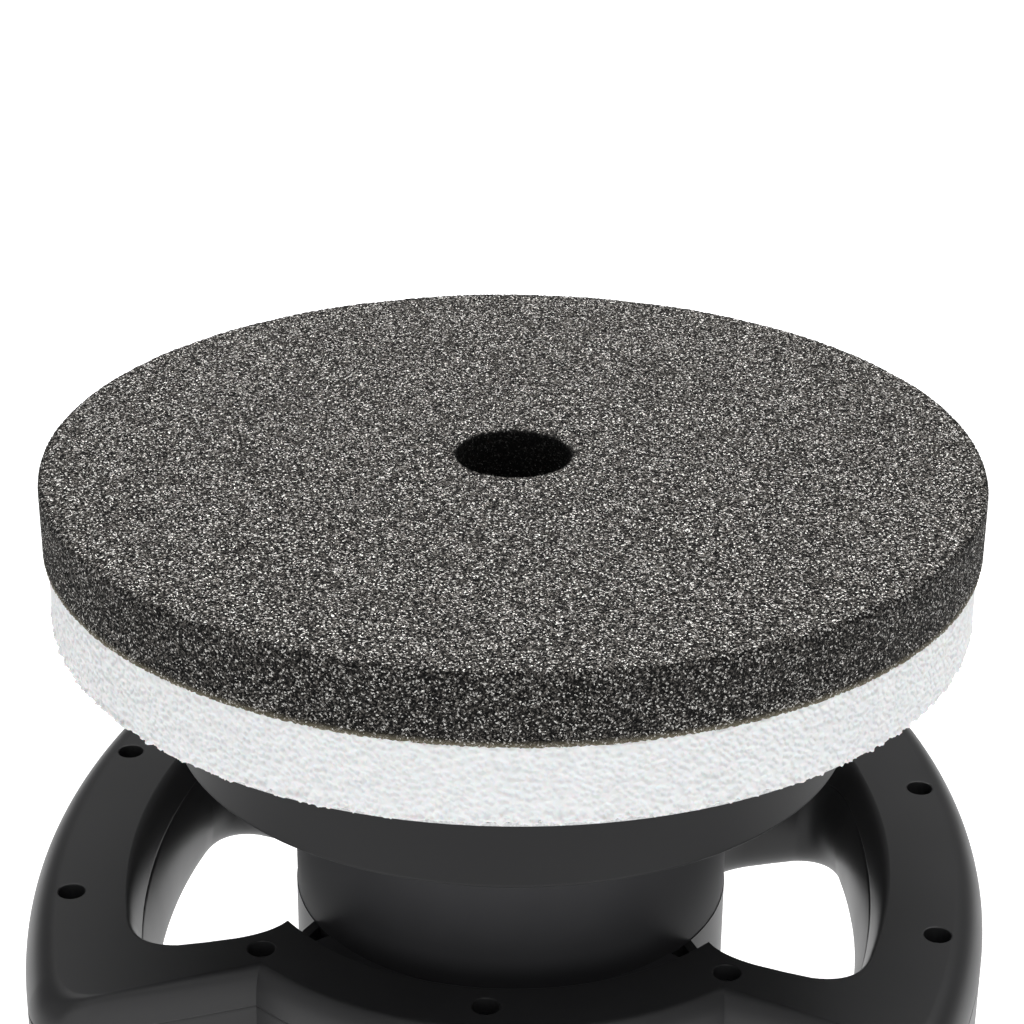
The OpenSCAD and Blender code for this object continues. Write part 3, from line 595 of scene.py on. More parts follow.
# Painted light: the tube's black nylon is a lighter grey than the plate's, to make up for the shade it
# stands in between the plate and the shell.
lightened_neck_nylon = moulded_plastic("black_nylon_tube_moulding", "#39393b", 0.55, 0.45, 0.01, 1.28)
neck = piece("neck_tube", smoothed(neck_mesh), lightened_neck_nylon)
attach(neck, "root")
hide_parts("neck_shroud")

# ---- Pad-side housing shell ----
# The face of both D handles and of the two bridges in one moulding: satin black ABS, with a broad
# round-over at its outer edge, flared finger openings and a deep recess for each screw.
top_z, under_z, wall = 88.0, 48.0, 2.6
half_w, drum_r = cad_high.x / MM, 92.4
screw_r, screw_seat_z = 3.5, 82.0


def lerp(a, b, t):
    return np.asarray(a, float) * (1 - t) + np.asarray(b, float) * t


def bend(a, knee, b, count):
    """count + 1 points of a curve from a to b that bends at the knee."""
    return [lerp(lerp(a, knee, t), lerp(knee, b, t), t) for t in np.linspace(0, 1, count + 1)]


def mirrored(points):
    """A right half outline, from its lowest point anticlockwise to its highest, with its left half."""
    return [tuple(p) for p in points] + [(-x, y) for x, y in points[-2:0:-1]]


def quarter_outline(f):
    """The housing's outline from its front centre to its right-hand end: the drum's arc, the arm's
    straight wall, the rounded corner and the handle's long arc. f is 0 at the parting line and 1
    at the flat face."""
    r, turn = lerp(drum_r, drum_r - 4.8, f), math.radians(lerp(39.9, 41.9, f))
    w, long_r, arc_y = lerp(half_w, half_w - 8.3, f), lerp(255, 247, f), lerp(-79, -73, f)

    def on_arc(y):
        return np.array((w - long_r + math.sqrt(long_r * long_r - y * y), y))

    drum = [r * np.array((math.sin(a), -math.cos(a))) for a in np.linspace(0, turn, 25)]
    start = lerp((98.5, -87.4), (93.5, -81.8), f)
    arm = [lerp(drum[-1], start, t) for t in np.linspace(0, 1, 9)[1:-1]]
    corner = bend(start, lerp((110.8, -92.6), (104.6, -87), f), on_arc(arc_y), 24)
    return drum + arm + corner + [on_arc(y) for y in np.linspace(arc_y, 0, 25)[1:]]


def outline(f):
    front = quarter_outline(f)
    return mirrored(front + [(x, -y) for x, y in front[-2::-1]])


def opening(f, side):
    """The right or left finger opening: bridge, arm, rounded corner and the handle's bowed wall."""
    def mix(a, b):
        return lerp(a, b, f)

    near = [mix((48, -26), (48, -28)), mix((52.5, -35), (53, -43))]
    tip = bend(mix((54.5, -41), (54.6, -46)), mix((57, -47.5), (57.6, -52)), mix((66, -51), (67, -55.8)),
               10)
    arm_side = [mix((74, -53.6), (74, -58.2))]
    corner = bend(mix((80.5, -55.6), (81, -60.2)), mix((91, -57.6), (94.8, -62)),
                  mix((94.2, -44), (97.6, -46)), 14)
    wall_y = mix(-44, -46)
    bow = [np.array((mix(98.7, 103.6) - y * y / mix(430, 350), y)) for y in np.linspace(wall_y, 0, 13)[1:]]
    half = near + tip + arm_side + corner + bow
    points = half + [np.array((x, -y)) for x, y in half[-2::-1]]
    return [(side * x, y) for x, y in points]


def grown(points, distance):
    """A closed anticlockwise outline with each point moved outwards."""
    p = np.array(points, float)
    before, after = p - np.roll(p, 1, axis=0), np.roll(p, -1, axis=0) - p
    side = before / np.linalg.norm(before, axis=1)[:, None] + after / np.linalg.norm(after, axis=1)[:, None]
    side /= np.linalg.norm(side, axis=1)[:, None]
    return (p + distance * np.stack([side[:, 1], -side[:, 0]], 1)).tolist()


def round_over(t):
    """Inset of an edge that is rounded as an ellipse, with t from 0 where it starts to 1 at the face."""
    return 1 - math.sqrt(max(0.0, 1 - t * t))


def outer_inset(z):
    """Inset of the outer wall at a height, with a hairline groove at the parting line."""
    groove = 0.05 * max(0.0, 1 - abs(z - split_z) / 0.45)
    if z >= split_z:
        return round_over((z - split_z) / (top_z - split_z)) + groove
    return round_over(max(0.0, (under_z + 9 - z) / 9)) + groove


def opening_flare(z):
    """Flare of the finger openings at a height."""
    if z >= split_z:
        t = (z - split_z) / (top_z - split_z)
        return 0.5 * t + 0.5 * round_over(t) + 0.04 * max(0.0, 1 - (z - split_z) / 0.45)
    s = (split_z - z) / (split_z - under_z)
    return -2.6 * s * (1 - s) + round_over(min(1.0, max(0.0, (s - 0.7) / 0.3)))


def heights(low, high, steps, groove_at):
    """Heights that crowd towards both ends, with one close to the parting line."""
    spread = [low + (high - low) * (1 - math.cos(math.pi * i / steps)) / 2 for i in range(steps + 1)]
    close = groove_at + 0.45 * (1 if low >= groove_at else -1)
    return sorted({*[z for z in spread if abs(z - groove_at) > 0.6 or z == groove_at], close})


def both_openings(levels, low, high):
    """The two finger openings as solids to cut with, a little longer than the shell."""
    solids = []
    for side in (1, -1):
        rings = [(z, opening(opening_flare(z), side)) for z in levels]
        rings = [(low, rings[0][1]), *rings, (high, rings[-1][1])]
        solids.append(lofted(rings))
    return solids


def opening_walls(f, z1, z2):
    """Solid walls round the two openings, to leave standing in a hollow."""
    right, left = (prism(grown(opening(f, 1), wall), z1, z2) for _ in range(2))
    for vert in left.vertices:
        vert.co.x = -vert.co.x
    left.flip_normals()
    return [right, left]


def recess_cutter(x, y, shaft_r, bottom):
    """A screw's counterbore with a softly broken rim, and the clearance hole under it."""
    outline_rz = [(0, bottom), (shaft_r, bottom), (shaft_r, screw_seat_z), (screw_r, screw_seat_z),
                  (screw_r, top_z - 0.5), (screw_r + 0.12, top_z - 0.2), (screw_r + 0.45, top_z),
                  (screw_r + 0.45, top_z + 2),
                  (0, top_z + 2)]
    mesh = turned("recess", outline_rz, 48)
    for vert in mesh.vertices:
        vert.co += Vector((x, y, 0)) * MM
    return mesh


pad_levels = heights(split_z, top_z, 18, split_z)
pad_blank = lofted([(z, outline(outer_inset(z))) for z in pad_levels])
moat = turned("moat", [(0, split_z - 2), (moat_r, split_z - 2), (moat_r, top_z - 0.8),
                       (moat_r + 0.25, top_z - 0.25),
                       (moat_r + 0.8, top_z), (moat_r + 0.8, top_z + 3), (0, top_z + 3)], 180)
pad_hollow = combined(
    prism(grown(outline(0.35), -wall), split_z - 1, top_z - wall),
    *[("DIFFERENCE", part) for part in opening_walls(0.35, split_z - 2, top_z)],
    ("DIFFERENCE", post(moat_r + wall, split_z - 2, top_z, steps=120)),
    *[("DIFFERENCE", post(screw_r + 1.8, split_z - 2, top_z, x, y)) for x, y in screw_places])
pad_shell_mesh = combined(
    pad_blank, *[("DIFFERENCE", part) for part in both_openings(pad_levels, split_z - 2, top_z + 2)],
    ("DIFFERENCE", moat), ("DIFFERENCE", pad_hollow),
    *[("DIFFERENCE", recess_cutter(x, y, clearance_r, split_z - 1)) for x, y in screw_places])
housing_abs = moulded_plastic("satin_black_abs_moulding", "#242425", 0.42, 0.5, 0.014)
pad_shell_mesh.name = "pad_side_shell"
pad_shell = piece("pad_side_shell", smoothed(pad_shell_mesh), housing_abs)
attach(pad_shell, "root")
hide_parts("pad_side_housing")

# ---- Dome-side housing shell ----
# The other shell, in the same ABS: the backs of the handles, the motor's column and the dome that
# the upturned machine stands on, with cooling slots low on the dome at the front and the rear.
rest_r, column_r = 42.0, 59.0
control_x, control_y, arm_turn = 80.0, 67.6, math.radians(23)
gland_x, gland_z = 26.0, 58.0
dial_r = 11.0

dome_curve = [tuple(p) for p in bend((rest_r, 0), (rest_r + 8, 0), (rest_r + 10.5, 10), 12)]
side_curve = [tuple(p) for p in bend(dome_curve[-1], (column_r - 2.6, 24), (column_r, 38), 10)][1:]
fillet = [(column_r + 6 * (1 - math.cos(a)), under_z - 6 + 6 * math.sin(a))
          for a in np.linspace(0, math.pi / 2, 8)]
dome_solid = turned("dome", [(0, 0), *dome_curve, *side_curve, (column_r, split_z), (0, split_z)], 240)
fillet_ring = turned("fillet", [(column_r - 2, under_z - 6), *fillet, (column_r + 6, under_z + 4),
                                (column_r - 2, under_z + 4)], 240)
cooling_dome = [(0, wall), (rest_r - 1, wall), *[(r - wall, z + wall * 0.6) for r, z in dome_curve[6:]],
                *[(r - wall, z) for r, z in side_curve[1:]], (column_r - wall, split_z + 1),
                (0, split_z + 1)]
board_posts = [post(3, wall - 1, 9, x, y) for x in (-24, 24) for y in (-18, 18)]
column_hollow = combined(turned("column_hollow", cooling_dome, 180),
                         *[("DIFFERENCE", part) for part in board_posts])

dome_levels = heights(under_z, split_z, 26, split_z)
dome_blank = lofted([(z, outline(outer_inset(z))) for z in dome_levels])
shell_floor = under_z + wall


def arm_hollow(f, wall_f, z1, z2):
    """The hollow inside the handles, arms and bridges between two heights."""
    return combined(
        prism(grown(outline(f), -wall), z1, z2),
        *[("DIFFERENCE", part) for part in opening_walls(wall_f, z1 - 1, z2 + 1)],
        ("DIFFERENCE", post(column_r, z1 - 1, z2 + 1, steps=120)),
        *[("DIFFERENCE", post(screw_r + 1, z1 - 1, z2 + 1, x, y)) for x, y in screw_places])


def along_x(r, x1, x2, y, z, turn):
    """A round rod lying along X in mm, turned about the Z axis through the origin."""
    mesh = post(r, x1, x2, steps=32)
    spin = Euler((0, 0, turn)).to_matrix()
    for vert in mesh.vertices:
        rod_x, rod_y, along = vert.co.x, vert.co.y, vert.co.z
        vert.co = spin @ Vector((along, y * MM + rod_y, z * MM - rod_x))
    return mesh


control_places = {side: (side * control_x, -control_y, 0) for side in (1, -1)}
control_cuts = [
    box_mesh((-9.6, -6.6, under_z - 1), (9.6, 6.6, under_z + 15), -arm_turn, control_places[1]),
    box_mesh((-dial_r - 1, -3.6, under_z - 1), (dial_r + 1, 3.6, under_z + 19), arm_turn,
             control_places[-1]),
    box_mesh((-5.2, 3.5, shell_floor), (5.2, 7.6, shell_floor + 14), arm_turn, control_places[-1])]
wire_holes = [along_x(4, column_r - 6, column_r + 6, 0, 57, math.radians(a)) for a in (-54, 234, 72)]
gland_hole = along_x(6.5, 60, 100, -gland_x, gland_z, math.radians(90))


def slot_cutter(turn):
    """One cooling slot with rounded ends, 3 mm wide, cut straight through the dome's wall."""
    half, low, high = 1.5, 14.0, 30.0
    flat = [(half * math.cos(a), high - half + half * math.sin(a)) for a in np.linspace(0, math.pi, 9)]
    flat += [(half * math.cos(a), low + half + half * math.sin(a)) for a in np.linspace(math.pi,
                                                                                        2 * math.pi, 9)]
    mesh = prism(flat, 40, 70)
    spin = Euler((0, 0, turn)).to_matrix()
    for vert in mesh.vertices:
        across, up, out = vert.co.x, vert.co.y, vert.co.z
        vert.co = spin @ Vector((out, across, up))
    mesh.flip_normals()
    return mesh


slot_cutters = [slot_cutter(math.radians(a + 9 * i)) for a in (-90, 90) for i in range(-4, 5)]
flange_seats = [sector_prism(51, 50, moat_r + 4, split_z - 3, split_z + 1, turn) for turn in (90, 270)]
dome_shell_mesh = combined(
    dome_blank, ("UNION", fillet_ring),
    *[("DIFFERENCE", part) for part in both_openings(dome_levels, under_z - 8, split_z + 2)],
    ("UNION", dome_solid), ("DIFFERENCE", column_hollow),
    ("DIFFERENCE", arm_hollow(0.1, 0.1, shell_floor + 6, split_z + 1)),
    ("DIFFERENCE", arm_hollow(0.8, 0.6, shell_floor, shell_floor + 6.5)),
    *[("DIFFERENCE", part) for part in flange_seats],
    *[("DIFFERENCE", post(pilot_r, 60, split_z + 1, x, y)) for x, y in screw_places],
    *[("DIFFERENCE", part) for part in wire_holes + [gland_hole] + control_cuts + slot_cutters])
dome_shell_mesh.name = "dome_side_shell"
dome_shell = piece("dome_side_shell", smoothed(dome_shell_mesh), housing_abs)
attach(dome_shell, "root")
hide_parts("dome_side_housing")

# ---- Metals ----
# The steel, zinc and aluminium of the screws and the drive, which catch the light in fine lines.
def ground_metal(name, colour, dull, roughness, grain_mm, stretch=(1, 1, 1)):
    """Machined or plated metal: its grain runs the way the tool did, and its colour is uneven."""
    material, tree = new_material(name)
    spot = add(tree, "ShaderNodeTexCoord").outputs["Object"]
    run = add(tree, "ShaderNodeMapping", {"Vector": spot, "Scale": stretch}).outputs[0]
    grain = add(tree, "ShaderNodeTexNoise", {"Vector": run, "Scale": 1 / (grain_mm * MM), "Detail": 3.0})
    stain = add(tree, "ShaderNodeTexNoise", {"Vector": spot, "Scale": 1 / (9 * MM), "Detail": 2.0})
    tone = add(tree, "ShaderNodeMix", {0: stain.outputs[0], 6: srgb(colour), 7: srgb(dull)},
               data_type="RGBA")
    gloss = add(tree, "ShaderNodeMapRange", {"Value": grain.outputs[0], "From Min": 0.3, "From Max": 0.7,
                                            "To Min": roughness - 0.06, "To Max": roughness + 0.08})
    bump = add(tree, "ShaderNodeBump", {"Height": grain.outputs[0], "Strength": 0.25, "Distance": 0.00002})
    skin = add(tree, "ShaderNodeBsdfPrincipled", {"Base Color": tone.outputs[2], "Metallic": 1.0,
                                                 "Roughness": gloss.outputs[0], "Normal": bump.outputs[0]})
    add(tree, "ShaderNodeOutputMaterial", {"Surface": skin.outputs[0]})
    return material


bright_steel = ground_metal("turned_steel", "#c6c8ca", "#a9abad", 0.28, 0.35, (1, 1, 6))
race_steel = ground_metal("ground_bearing_steel", "#d2d4d6", "#bcbec0", 0.16, 0.25, (1, 1, 8))
blackened_steel = ground_metal("blackened_steel", "#56585b", "#3b3c3e", 0.38, 0.4)
plated_steel = ground_metal("zinc_plated_steel", "#aeb2b3", "#94999c", 0.34, 0.5)
zinc_alloy = ground_metal("zinc_die_casting", "#9a9c99", "#86888a", 0.5, 0.7)
cast_alloy = ground_metal("aluminium_die_casting", "#b9bbba", "#a2a4a4", 0.48, 0.8)
stamped_brass = ground_metal("stamped_brass", "#b89a4e", "#9c8040", 0.34, 0.4)
lamination = ground_metal("laminated_steel", "#8c8f93", "#6d7074", 0.42, 0.5, (0.05, 0.05, 1))
copper_bar = ground_metal("turned_copper", "#b8703c", "#985a30", 0.32, 0.4, (1, 1, 5))

# ---- Housing screws ----
# Ten black pan-head screws with a cross drive, each at the bottom of its recess: pressed steel,
# driven into posts in the dome-side shell.
head_r, head_h, shank_r, shank_low = 3.2, 2.4, 1.6, 62.0


def screw_blank():
    """One screw with a domed head and a pointed cross in it, with the seat of its head at Z 0."""
    profile = [(0, shank_low - screw_seat_z), (shank_r * 0.6, shank_low - screw_seat_z),
               (shank_r, shank_low - screw_seat_z + 1.5), (shank_r, 0), (head_r - 0.15, 0), (head_r, 0.25)]
    profile += [tuple(p) for p in bend((head_r, head_h * 0.45), (head_r * 0.85, head_h), (0, head_h), 6)]
    cross = []
    for turn in (0, 90):
        cross.append(box_mesh((-1.75, -0.42, head_h - 1.3), (1.75, 0.42, head_h + 1), math.radians(turn)))
    return combined(turned("screw", profile, 28), *[("DIFFERENCE", arm) for arm in cross])


def build_screw_row():
    """Puts a copy of one piece on each point of a mesh, each with its own turn."""
    tree, given = shape_tree("screws_on_points", Screw="Object", Seat_height="Float", Seed="Int",
                             Material="Material")
    screw = add(tree, "GeometryNodeObjectInfo", {"Object": given["Screw"]}).outputs["Geometry"]
    angle = add(tree, "FunctionNodeRandomValue", {"Max": 2 * math.pi, "Seed": given["Seed"]},
                data_type="FLOAT")
    turn = add(tree, "ShaderNodeCombineXYZ", {"Z": angle.outputs[1]}).outputs[0]
    row = add(tree, "GeometryNodeInstanceOnPoints", {"Points": given["Geometry"], "Instance": screw,
                                                    "Rotation": turn}).outputs[0]
    lift = add(tree, "ShaderNodeCombineXYZ", {"Z": given["Seat height"]}).outputs[0]
    raised = add(tree, "GeometryNodeTranslateInstances", {"Instances": row, "Translation": lift}).outputs[0]
    real = add(tree, "GeometryNodeRealizeInstances", {0: raised}).outputs[0]
    painted = add(tree, "GeometryNodeSetMaterial", {"Geometry": real, "Material": given["Material"]})
    add(tree, "NodeGroupOutput", {0: painted.outputs[0]})
    return tree


screw_pattern = bpy.data.objects.new("screw_pattern", screw_blank())
places_mesh = bpy.data.meshes.new("housing_screw_set")
places_mesh.from_pydata([(x * MM, y * MM, 0) for x, y in screw_places], [], [])
screws = piece("housing_screw_set", places_mesh, blackened_steel)
grown_by(screws, build_screw_row(), Screw=screw_pattern, Seat_height=screw_seat_z * MM, Seed=4,
         Material=blackened_steel)
bpy.data.objects.remove(screw_pattern)
screws.data = smoothed(screws.data)
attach(screws, "root")
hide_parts("housing_screws")

# ---- Cord gland ----
# A black rubber bush in the rear wall, with ribs that let it bend with the cord.
gland_low, gland_high = (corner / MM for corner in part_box("cord_gland"))
bore_r = 4.25


def rubber(name):
    """Moulded rubber: dull, slightly bloomed with grey, and soft at every edge."""
    material, tree = new_material(name)
    spot = add(tree, "ShaderNodeTexCoord").outputs["Object"]
    bloom = add(tree, "ShaderNodeTexNoise", {"Vector": spot, "Scale": 1 / (2.5 * MM), "Detail": 4.0})
    tone = add(tree, "ShaderNodeMix", {0: bloom.outputs[0], 6: srgb("#1a1a1b"), 7: srgb("#2a2a2b")},
               data_type="RGBA")
    bump = add(tree, "ShaderNodeBump", {"Height": bloom.outputs[0], "Strength": 0.3, "Distance": 0.00005})
    skin = add(tree, "ShaderNodeBsdfPrincipled", {"Base Color": tone.outputs[2], "Roughness": 0.72,
                                                 "IOR": 1.5, "Normal": bump.outputs[0]})
    add(tree, "ShaderNodeOutputMaterial", {"Surface": skin.outputs[0]})
    return material


black_rubber = rubber("moulded_black_rubber")
gland_length = gland_high.y - gland_low.y
gland_outline = rounded([(bore_r, 0, 0.3), (7.6, 0, 0.4), (7.6, 4, 0.4), (6.4, 4, 0), (6.4, 17.4, 0),
                         (8, 17.4, 0.5), (8, 19.2, 0.7), (7.3, 19.6, 0), (7.3, 20.2, 0), (7.6, 20.6, 0.2),
                         (7.2, gland_length, 0.5), (bore_r, gland_length, 0.5)], 3)
gland_mesh = turned("cord_gland_bush", gland_outline, 64)
for vert in gland_mesh.vertices:
    vert.co = Vector((gland_x * MM + vert.co.x, gland_low.y * MM + vert.co.z, gland_z * MM - vert.co.y))
gland = piece("cord_gland_bush", smoothed(gland_mesh, 40), black_rubber)
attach(gland, "root")
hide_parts("cord_gland")

# ---- Rocker switch ----
# The on-off rocker in the right front arm: a glossy black frame that snaps into the shell, and a
# hollow-faced nylon rocker with a printed bar and ring.
switch_nylon = moulded_plastic("polished_black_nylon", "#1b1b1c", 0.3, 0.6, 0.006)
control_nylon = moulded_plastic("dark_grey_nylon_moulding", "#2c2c2e", 0.4, 0.5, 0.01)
rocker_r, face_r, face_drop, rocker_half, rocker_lean = 7.4, 15.6, 20.0, 4.7, math.radians(9)


def finish_node(material, *names):
    """Gives CAD nodes whose shape is right their finish."""
    for name in names:
        nodes[name].data.materials.clear()
        nodes[name].data.materials.append(material)


def set_in_arm(mesh, side, pivot_z, lean=0.0):
    """Moves a mesh made round its own pivot to its place in the right or left front arm."""
    spin = Euler((0, 0, -side * arm_turn)).to_matrix()
    tilt = Euler((0, lean, 0)).to_matrix()
    place = Vector((side * control_x, -control_y, pivot_z)) * MM
    for vert in mesh.vertices:
        vert.co = spin @ (tilt @ vert.co) + place
    return mesh


def face_height(x):
    """Height of the rocker's hollow face below its pivot."""
    return math.sqrt(face_r * face_r - x * x) - face_drop


def rocker_solid():
    """The rocker round its pivot: a drum with a hollow face, its ends softly broken."""
    side = [(rocker_r * math.sin(a), -rocker_r * math.cos(a)) for a in np.radians(np.linspace(44.6, 113.9,
                                                                                              14))]
    face = [(x, face_height(x)) for x in np.linspace(-5.2, 5.2, 21)[1:-1]]
    profile = [(-x, z) for x, z in side[::-1]] + face + side
    levels = [(-rocker_half, 0.95), (-rocker_half + 0.3, 1), (rocker_half - 0.3, 1), (rocker_half, 0.95)]
    mesh = lofted([(y, [(x * k, z * k) for x, z in profile]) for y, k in levels])
    for vert in mesh.vertices:
        vert.co = Vector((vert.co.x, vert.co.z, vert.co.y))
    mesh.flip_normals()
    return mesh


def printed_mark(mesh, x):
    """Lays a flat mark on the rocker's hollow face, a hair proud of it."""
    for vert in mesh.vertices:
        skin_z = face_height(vert.co.x / MM + x) + (0.25 if vert.co.z > 0 else -0.05)
        vert.co = Vector((vert.co.x + x * MM, vert.co.y, skin_z * MM))
    return mesh


rocker = piece("rocker_moulding", smoothed(set_in_arm(rocker_solid(), 1, under_z + 2, rocker_lean)),
               control_nylon)
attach(rocker, "rocker")
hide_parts("switch_rocker")
ring_mark = printed_mark(turned("ring", [(1.05, 0), (1.5, 0), (1.5, 1), (1.05, 1)], 32), -3.3)
bar_mark = printed_mark(box_mesh((-0.24, -1.5, 0), (0.24, 1.5, 1)), 3.3)
mark_ink = moulded_plastic("white_pad_printed_ink", "#d9dadb", 0.5, 0.4, 0.004)
marks = piece("rocker_marks", set_in_arm(joined(ring_mark, bar_mark), 1, under_z + 2, rocker_lean),
              mark_ink)
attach(marks, "rocker")
finish_node(switch_nylon, "switch_body")

# ---- Speed dial ----
# The thumbwheel in the left front arm: a nylon wheel on the potentiometer's shaft, ribbed along one
# edge for the thumb, with the steps 1 to 6 printed round the other.
dial_z, rib_count, band_r = under_z + 7, 24, 10.4


def build_rib_ring():
    """Puts equal ribs round a wheel."""
    tree, given = shape_tree("ribs_round_wheel", Rib="Object", Count="Int", Radius="Float",
                             Material="Material")
    rib = add(tree, "GeometryNodeObjectInfo", {"Object": given["Rib"]}).outputs["Geometry"]
    ring = add(tree, "GeometryNodeMeshCircle",
               {"Vertices": given["Count"], "Radius": given["Radius"]}).outputs[0]
    index = add(tree, "GeometryNodeInputIndex").outputs[0]
    step = add(tree, "ShaderNodeMath", {0: 2 * math.pi, 1: given["Count"]}, operation="DIVIDE").outputs[0]
    angle = add(tree, "ShaderNodeMath", {0: index, 1: step}, operation="MULTIPLY").outputs[0]
    turn = add(tree, "ShaderNodeCombineXYZ", {"Z": angle}).outputs[0]
    ribs = add(tree, "GeometryNodeInstanceOnPoints", {"Points": ring, "Instance": rib, "Rotation": turn})
    whole = add(tree, "GeometryNodeJoinGeometry")
    tree.links.new(given["Geometry"], whole.inputs[0])
    tree.links.new(ribs.outputs[0], whole.inputs[0])
    real = add(tree, "GeometryNodeRealizeInstances", {0: whole.outputs[0]}).outputs[0]
    painted = add(tree, "GeometryNodeSetMaterial", {"Geometry": real, "Material": given["Material"]})
    add(tree, "NodeGroupOutput", {0: painted.outputs[0]})
    return tree


def laid_flat(mesh):
    """Turns a mesh made round the Z axis so that its axis runs across the arm, and sets it in."""
    for vert in mesh.vertices:
        vert.co = Vector((vert.co.x, vert.co.z, -vert.co.y))
    return set_in_arm(mesh, -1, dial_z)


def printed_digit(text, degrees):
    """A digit on the wheel's smooth band, 2 mm tall."""
    curve = bpy.data.curves.new("digit", "FONT")
    curve.body, curve.size, curve.extrude = text, 2.9 * MM, 0.06 * MM
    curve.align_x = curve.align_y = "CENTER"
    thing = bpy.data.objects.new("digit", curve)
    bpy.context.scene.collection.objects.link(thing)
    mesh = baked(thing)
    bpy.data.objects.remove(thing)
    out = Vector((math.cos(math.radians(degrees)), math.sin(math.radians(degrees)), 0))
    along = Vector((-out.y, out.x, 0))
    for vert in mesh.vertices:
        u, v, w = vert.co
        bent = math.sqrt((band_r * MM) ** 2 - u * u)
        vert.co = out * (bent + w) + along * u + Vector((0, 0, v + 1.3 * MM))
    return mesh


wheel_outline = rounded([(0, -2.8, 0), (9.7, -2.8, 0.3), (band_r, -2.3, 0.2), (band_r, 2.6, 0.2),
                         (9.9, 2.8, 0.1),
                         (1.5, 2.8, 0), (1.5, 7, 0.2), (0, 7, 0)], 3)
rib_shape = [(-0.5, -0.85), (0.1, -0.85), (0.45, -0.6), (0.6, -0.2), (0.6, 0.2), (0.45, 0.6), (0.1, 0.85),
             (-0.5, 0.85)]
rib_pattern = bpy.data.objects.new("rib_pattern", prism(rib_shape, -2.6, -0.3))
dial = piece("speed_thumbwheel", turned("speed_thumbwheel", wheel_outline, 96), control_nylon)
grown_by(dial, build_rib_ring(), Rib=rib_pattern, Count=rib_count, Radius=(dial_r - 0.6) * MM,
         Material=control_nylon)
bpy.data.objects.remove(rib_pattern)
dial.data = smoothed(laid_flat(dial.data))
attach(dial, "dial")
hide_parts("speed_dial")
digits = [printed_digit(str(i + 1), 90 - 54 * i) for i in range(6)]
numbers = piece("dial_numbers", laid_flat(joined(*digits)), mark_ink)
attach(numbers, "dial")

# ---- Inner pieces ----
# What the shells hide keeps its CAD shape, and gets the finish of the metal, resin or winding that
# it is made of.
def fuzzy_velour(name, colour):
    """Brushed-nylon loop velour: a short tangled pile that looks lighter at a glancing angle."""
    material, tree = new_material(name)
    spot = add(tree, "ShaderNodeTexCoord").outputs["Object"]
    loops = add(tree, "ShaderNodeTexVoronoi", {"Vector": spot, "Scale": 1 / (0.6 * MM)})
    tone = add(tree, "ShaderNodeMapRange", {"Value": loops.outputs["Distance"], "To Min": 1.05,
                                            "To Max": 0.6})
    pile = add(tree, "ShaderNodeVectorMath", {0: srgb(colour)[:3], "Scale": tone.outputs[0]},
               operation="SCALE")
    bump = add(tree, "ShaderNodeBump", {"Height": loops.outputs["Distance"], "Strength": 0.8,
                                        "Distance": 0.0002})
    skin = add(tree, "ShaderNodeBsdfPrincipled", {"Base Color": pile.outputs[0], "Roughness": 0.9,
                                                 "Sheen Weight": 0.3, "Normal": bump.outputs[0]})
    add(tree, "ShaderNodeOutputMaterial", {"Surface": skin.outputs[0]})
    return material


def wound_copper():
    """Enamelled copper wire, wound side by side, 0.6 mm thick."""
    material, tree = new_material("enamelled_copper_winding")
    spot = add(tree, "ShaderNodeTexCoord").outputs["Object"]
    turns = add(tree, "ShaderNodeTexWave", {"Vector": spot, "Scale": 1 / (0.6 * MM) / 3.14,
                                            "Distortion": 1.5},
                bands_direction="X")
    tone = add(tree, "ShaderNodeMix", {0: turns.outputs[1], 6: srgb("#5a2c12"), 7: srgb("#b5652c")},
               data_type="RGBA")
    bump = add(tree, "ShaderNodeBump", {"Height": turns.outputs[1], "Strength": 0.8, "Distance": 0.0002})
    skin = add(tree, "ShaderNodeBsdfPrincipled", {"Base Color": tone.outputs[2], "Metallic": 0.85,
                                                 "Roughness": 0.32, "Normal": bump.outputs[0]})
    add(tree, "ShaderNodeOutputMaterial", {"Surface": skin.outputs[0]})
    return material


def speckled(name, colour, spots, roughness, grain_mm, metallic=0.0):
    """A pressed or sintered solid: fine grains of two tones."""
    material, tree = new_material(name)
    spot = add(tree, "ShaderNodeTexCoord").outputs["Object"]
    grains = add(tree, "ShaderNodeTexNoise", {"Vector": spot, "Scale": 1 / (grain_mm * MM), "Detail": 3.0})
    tone = add(tree, "ShaderNodeMix", {0: grains.outputs[0], 6: srgb(colour), 7: srgb(spots)},
               data_type="RGBA")
    bump = add(tree, "ShaderNodeBump", {"Height": grains.outputs[0], "Strength": 0.4, "Distance": 0.00003})
    skin = add(tree, "ShaderNodeBsdfPrincipled", {"Base Color": tone.outputs[2], "Roughness": roughness,
                                                 "Metallic": metallic, "Normal": bump.outputs[0]})
    add(tree, "ShaderNodeOutputMaterial", {"Surface": skin.outputs[0]})
    return material


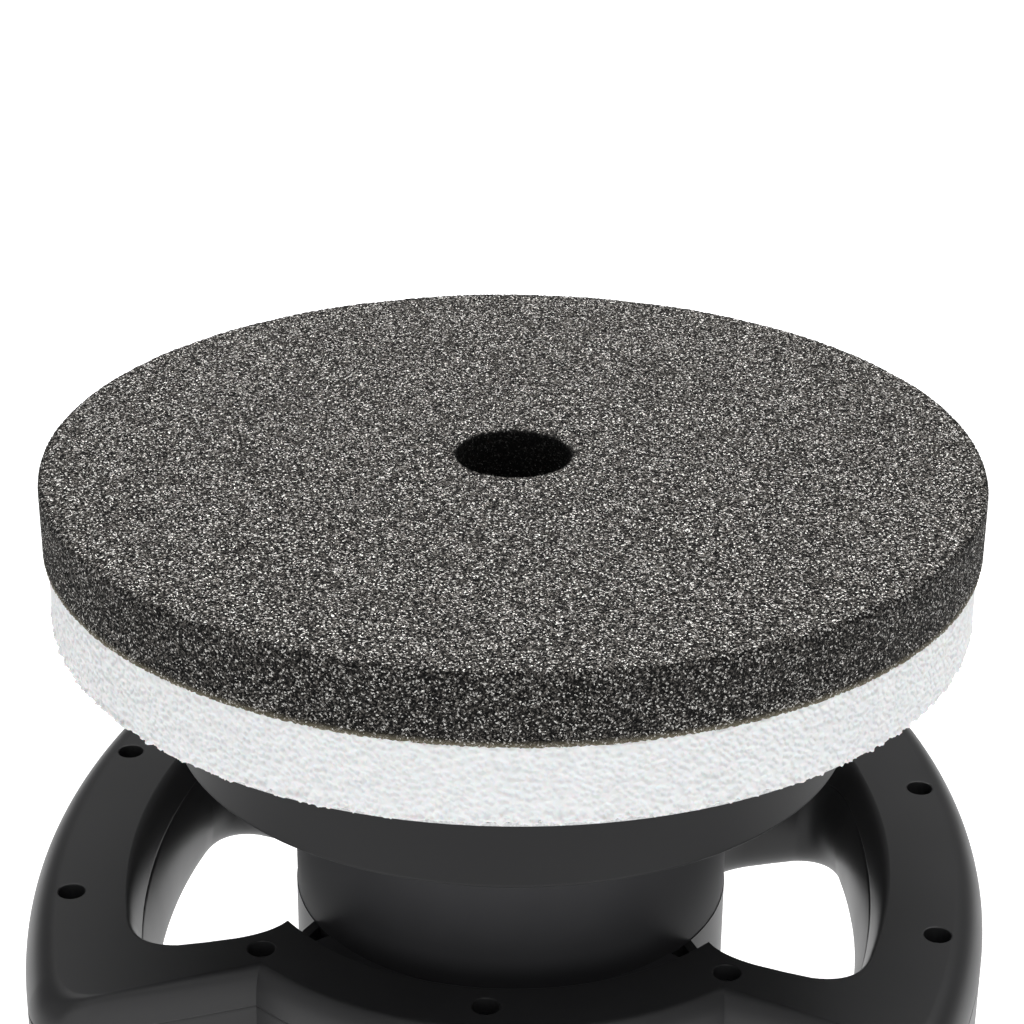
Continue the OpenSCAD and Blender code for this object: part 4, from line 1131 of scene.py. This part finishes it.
fan_nylon = moulded_plastic("grey_fan_nylon", "#3c3e41", 0.45, 0.5, 0.01)
holder_resin = speckled("phenolic_resin", "#2a1c17", "#3d2a22", 0.5, 0.5)
sintered_ferrite = speckled("sintered_ferrite", "#3a3a3c", "#4a4a4d", 0.62, 0.4)
pressed_carbon = speckled("pressed_carbon", "#1d1d1e", "#3a3a3b", 0.5, 0.3, 0.3)
solder_mask = speckled("green_solder_mask", "#0f4a2a", "#146038", 0.3, 1.2)
printed_sleeve = speckled("shrunk_pvc_sleeve", "#1d2c52", "#25386a", 0.3, 2.0)
resin_block = speckled("moulded_epoxy", "#232324", "#303031", 0.45, 0.4)
blue_resin = speckled("blue_thermoset", "#2c4c74", "#3b5f8c", 0.4, 0.5)
wire_jacket = speckled("pvc_wire_jacket", "#7a2a26", "#8d3530", 0.42, 0.8)

finish_node(fuzzy_velour("white_loop_velour", "#d6d7d8"), "loop_disc")
finish_node(fuzzy_velour("black_hook_tape", "#1c1c1d"), "hook_disc")
finish_node(wound_copper(), "rotor_windings")
finish_node(race_steel, "pad_bearing_inner", "pad_bearing_outer", "pad_bearing_balls",
            "front_bearing_inner",
            "front_bearing_outer", "front_bearing_balls", "rear_bearing_inner", "rear_bearing_outer",
            "rear_bearing_balls")
finish_node(bright_steel, "plate_washer", "pad_spindle", "rotor_shaft", "brush_springs")
finish_node(blackened_steel, "plate_bolt", "spindle_circlip", "pocket_circlip", "eccentric_screw",
            "clamp_screws",
            "motor_screws")
finish_node(plated_steel, "motor_can", "tie_bolts")
finish_node(lamination, "rotor_core")
finish_node(copper_bar, "commutator")
finish_node(zinc_alloy, "eccentric_hub")
finish_node(cast_alloy, "front_bracket", "rear_bracket")
finish_node(stamped_brass, "brush_holders")
finish_node(sintered_ferrite, "motor_magnets")
finish_node(pressed_carbon, "carbon_brushes")
finish_node(solder_mask, "control_board")
finish_node(printed_sleeve, "filter_capacitor")
finish_node(resin_block, "rectifier")
finish_node(blue_resin, "dial_potentiometer")
finish_node(fan_nylon, "cooling_fan")
finish_node(holder_resin, "cord_clamp")
finish_node(wire_jacket, "lead_wires")
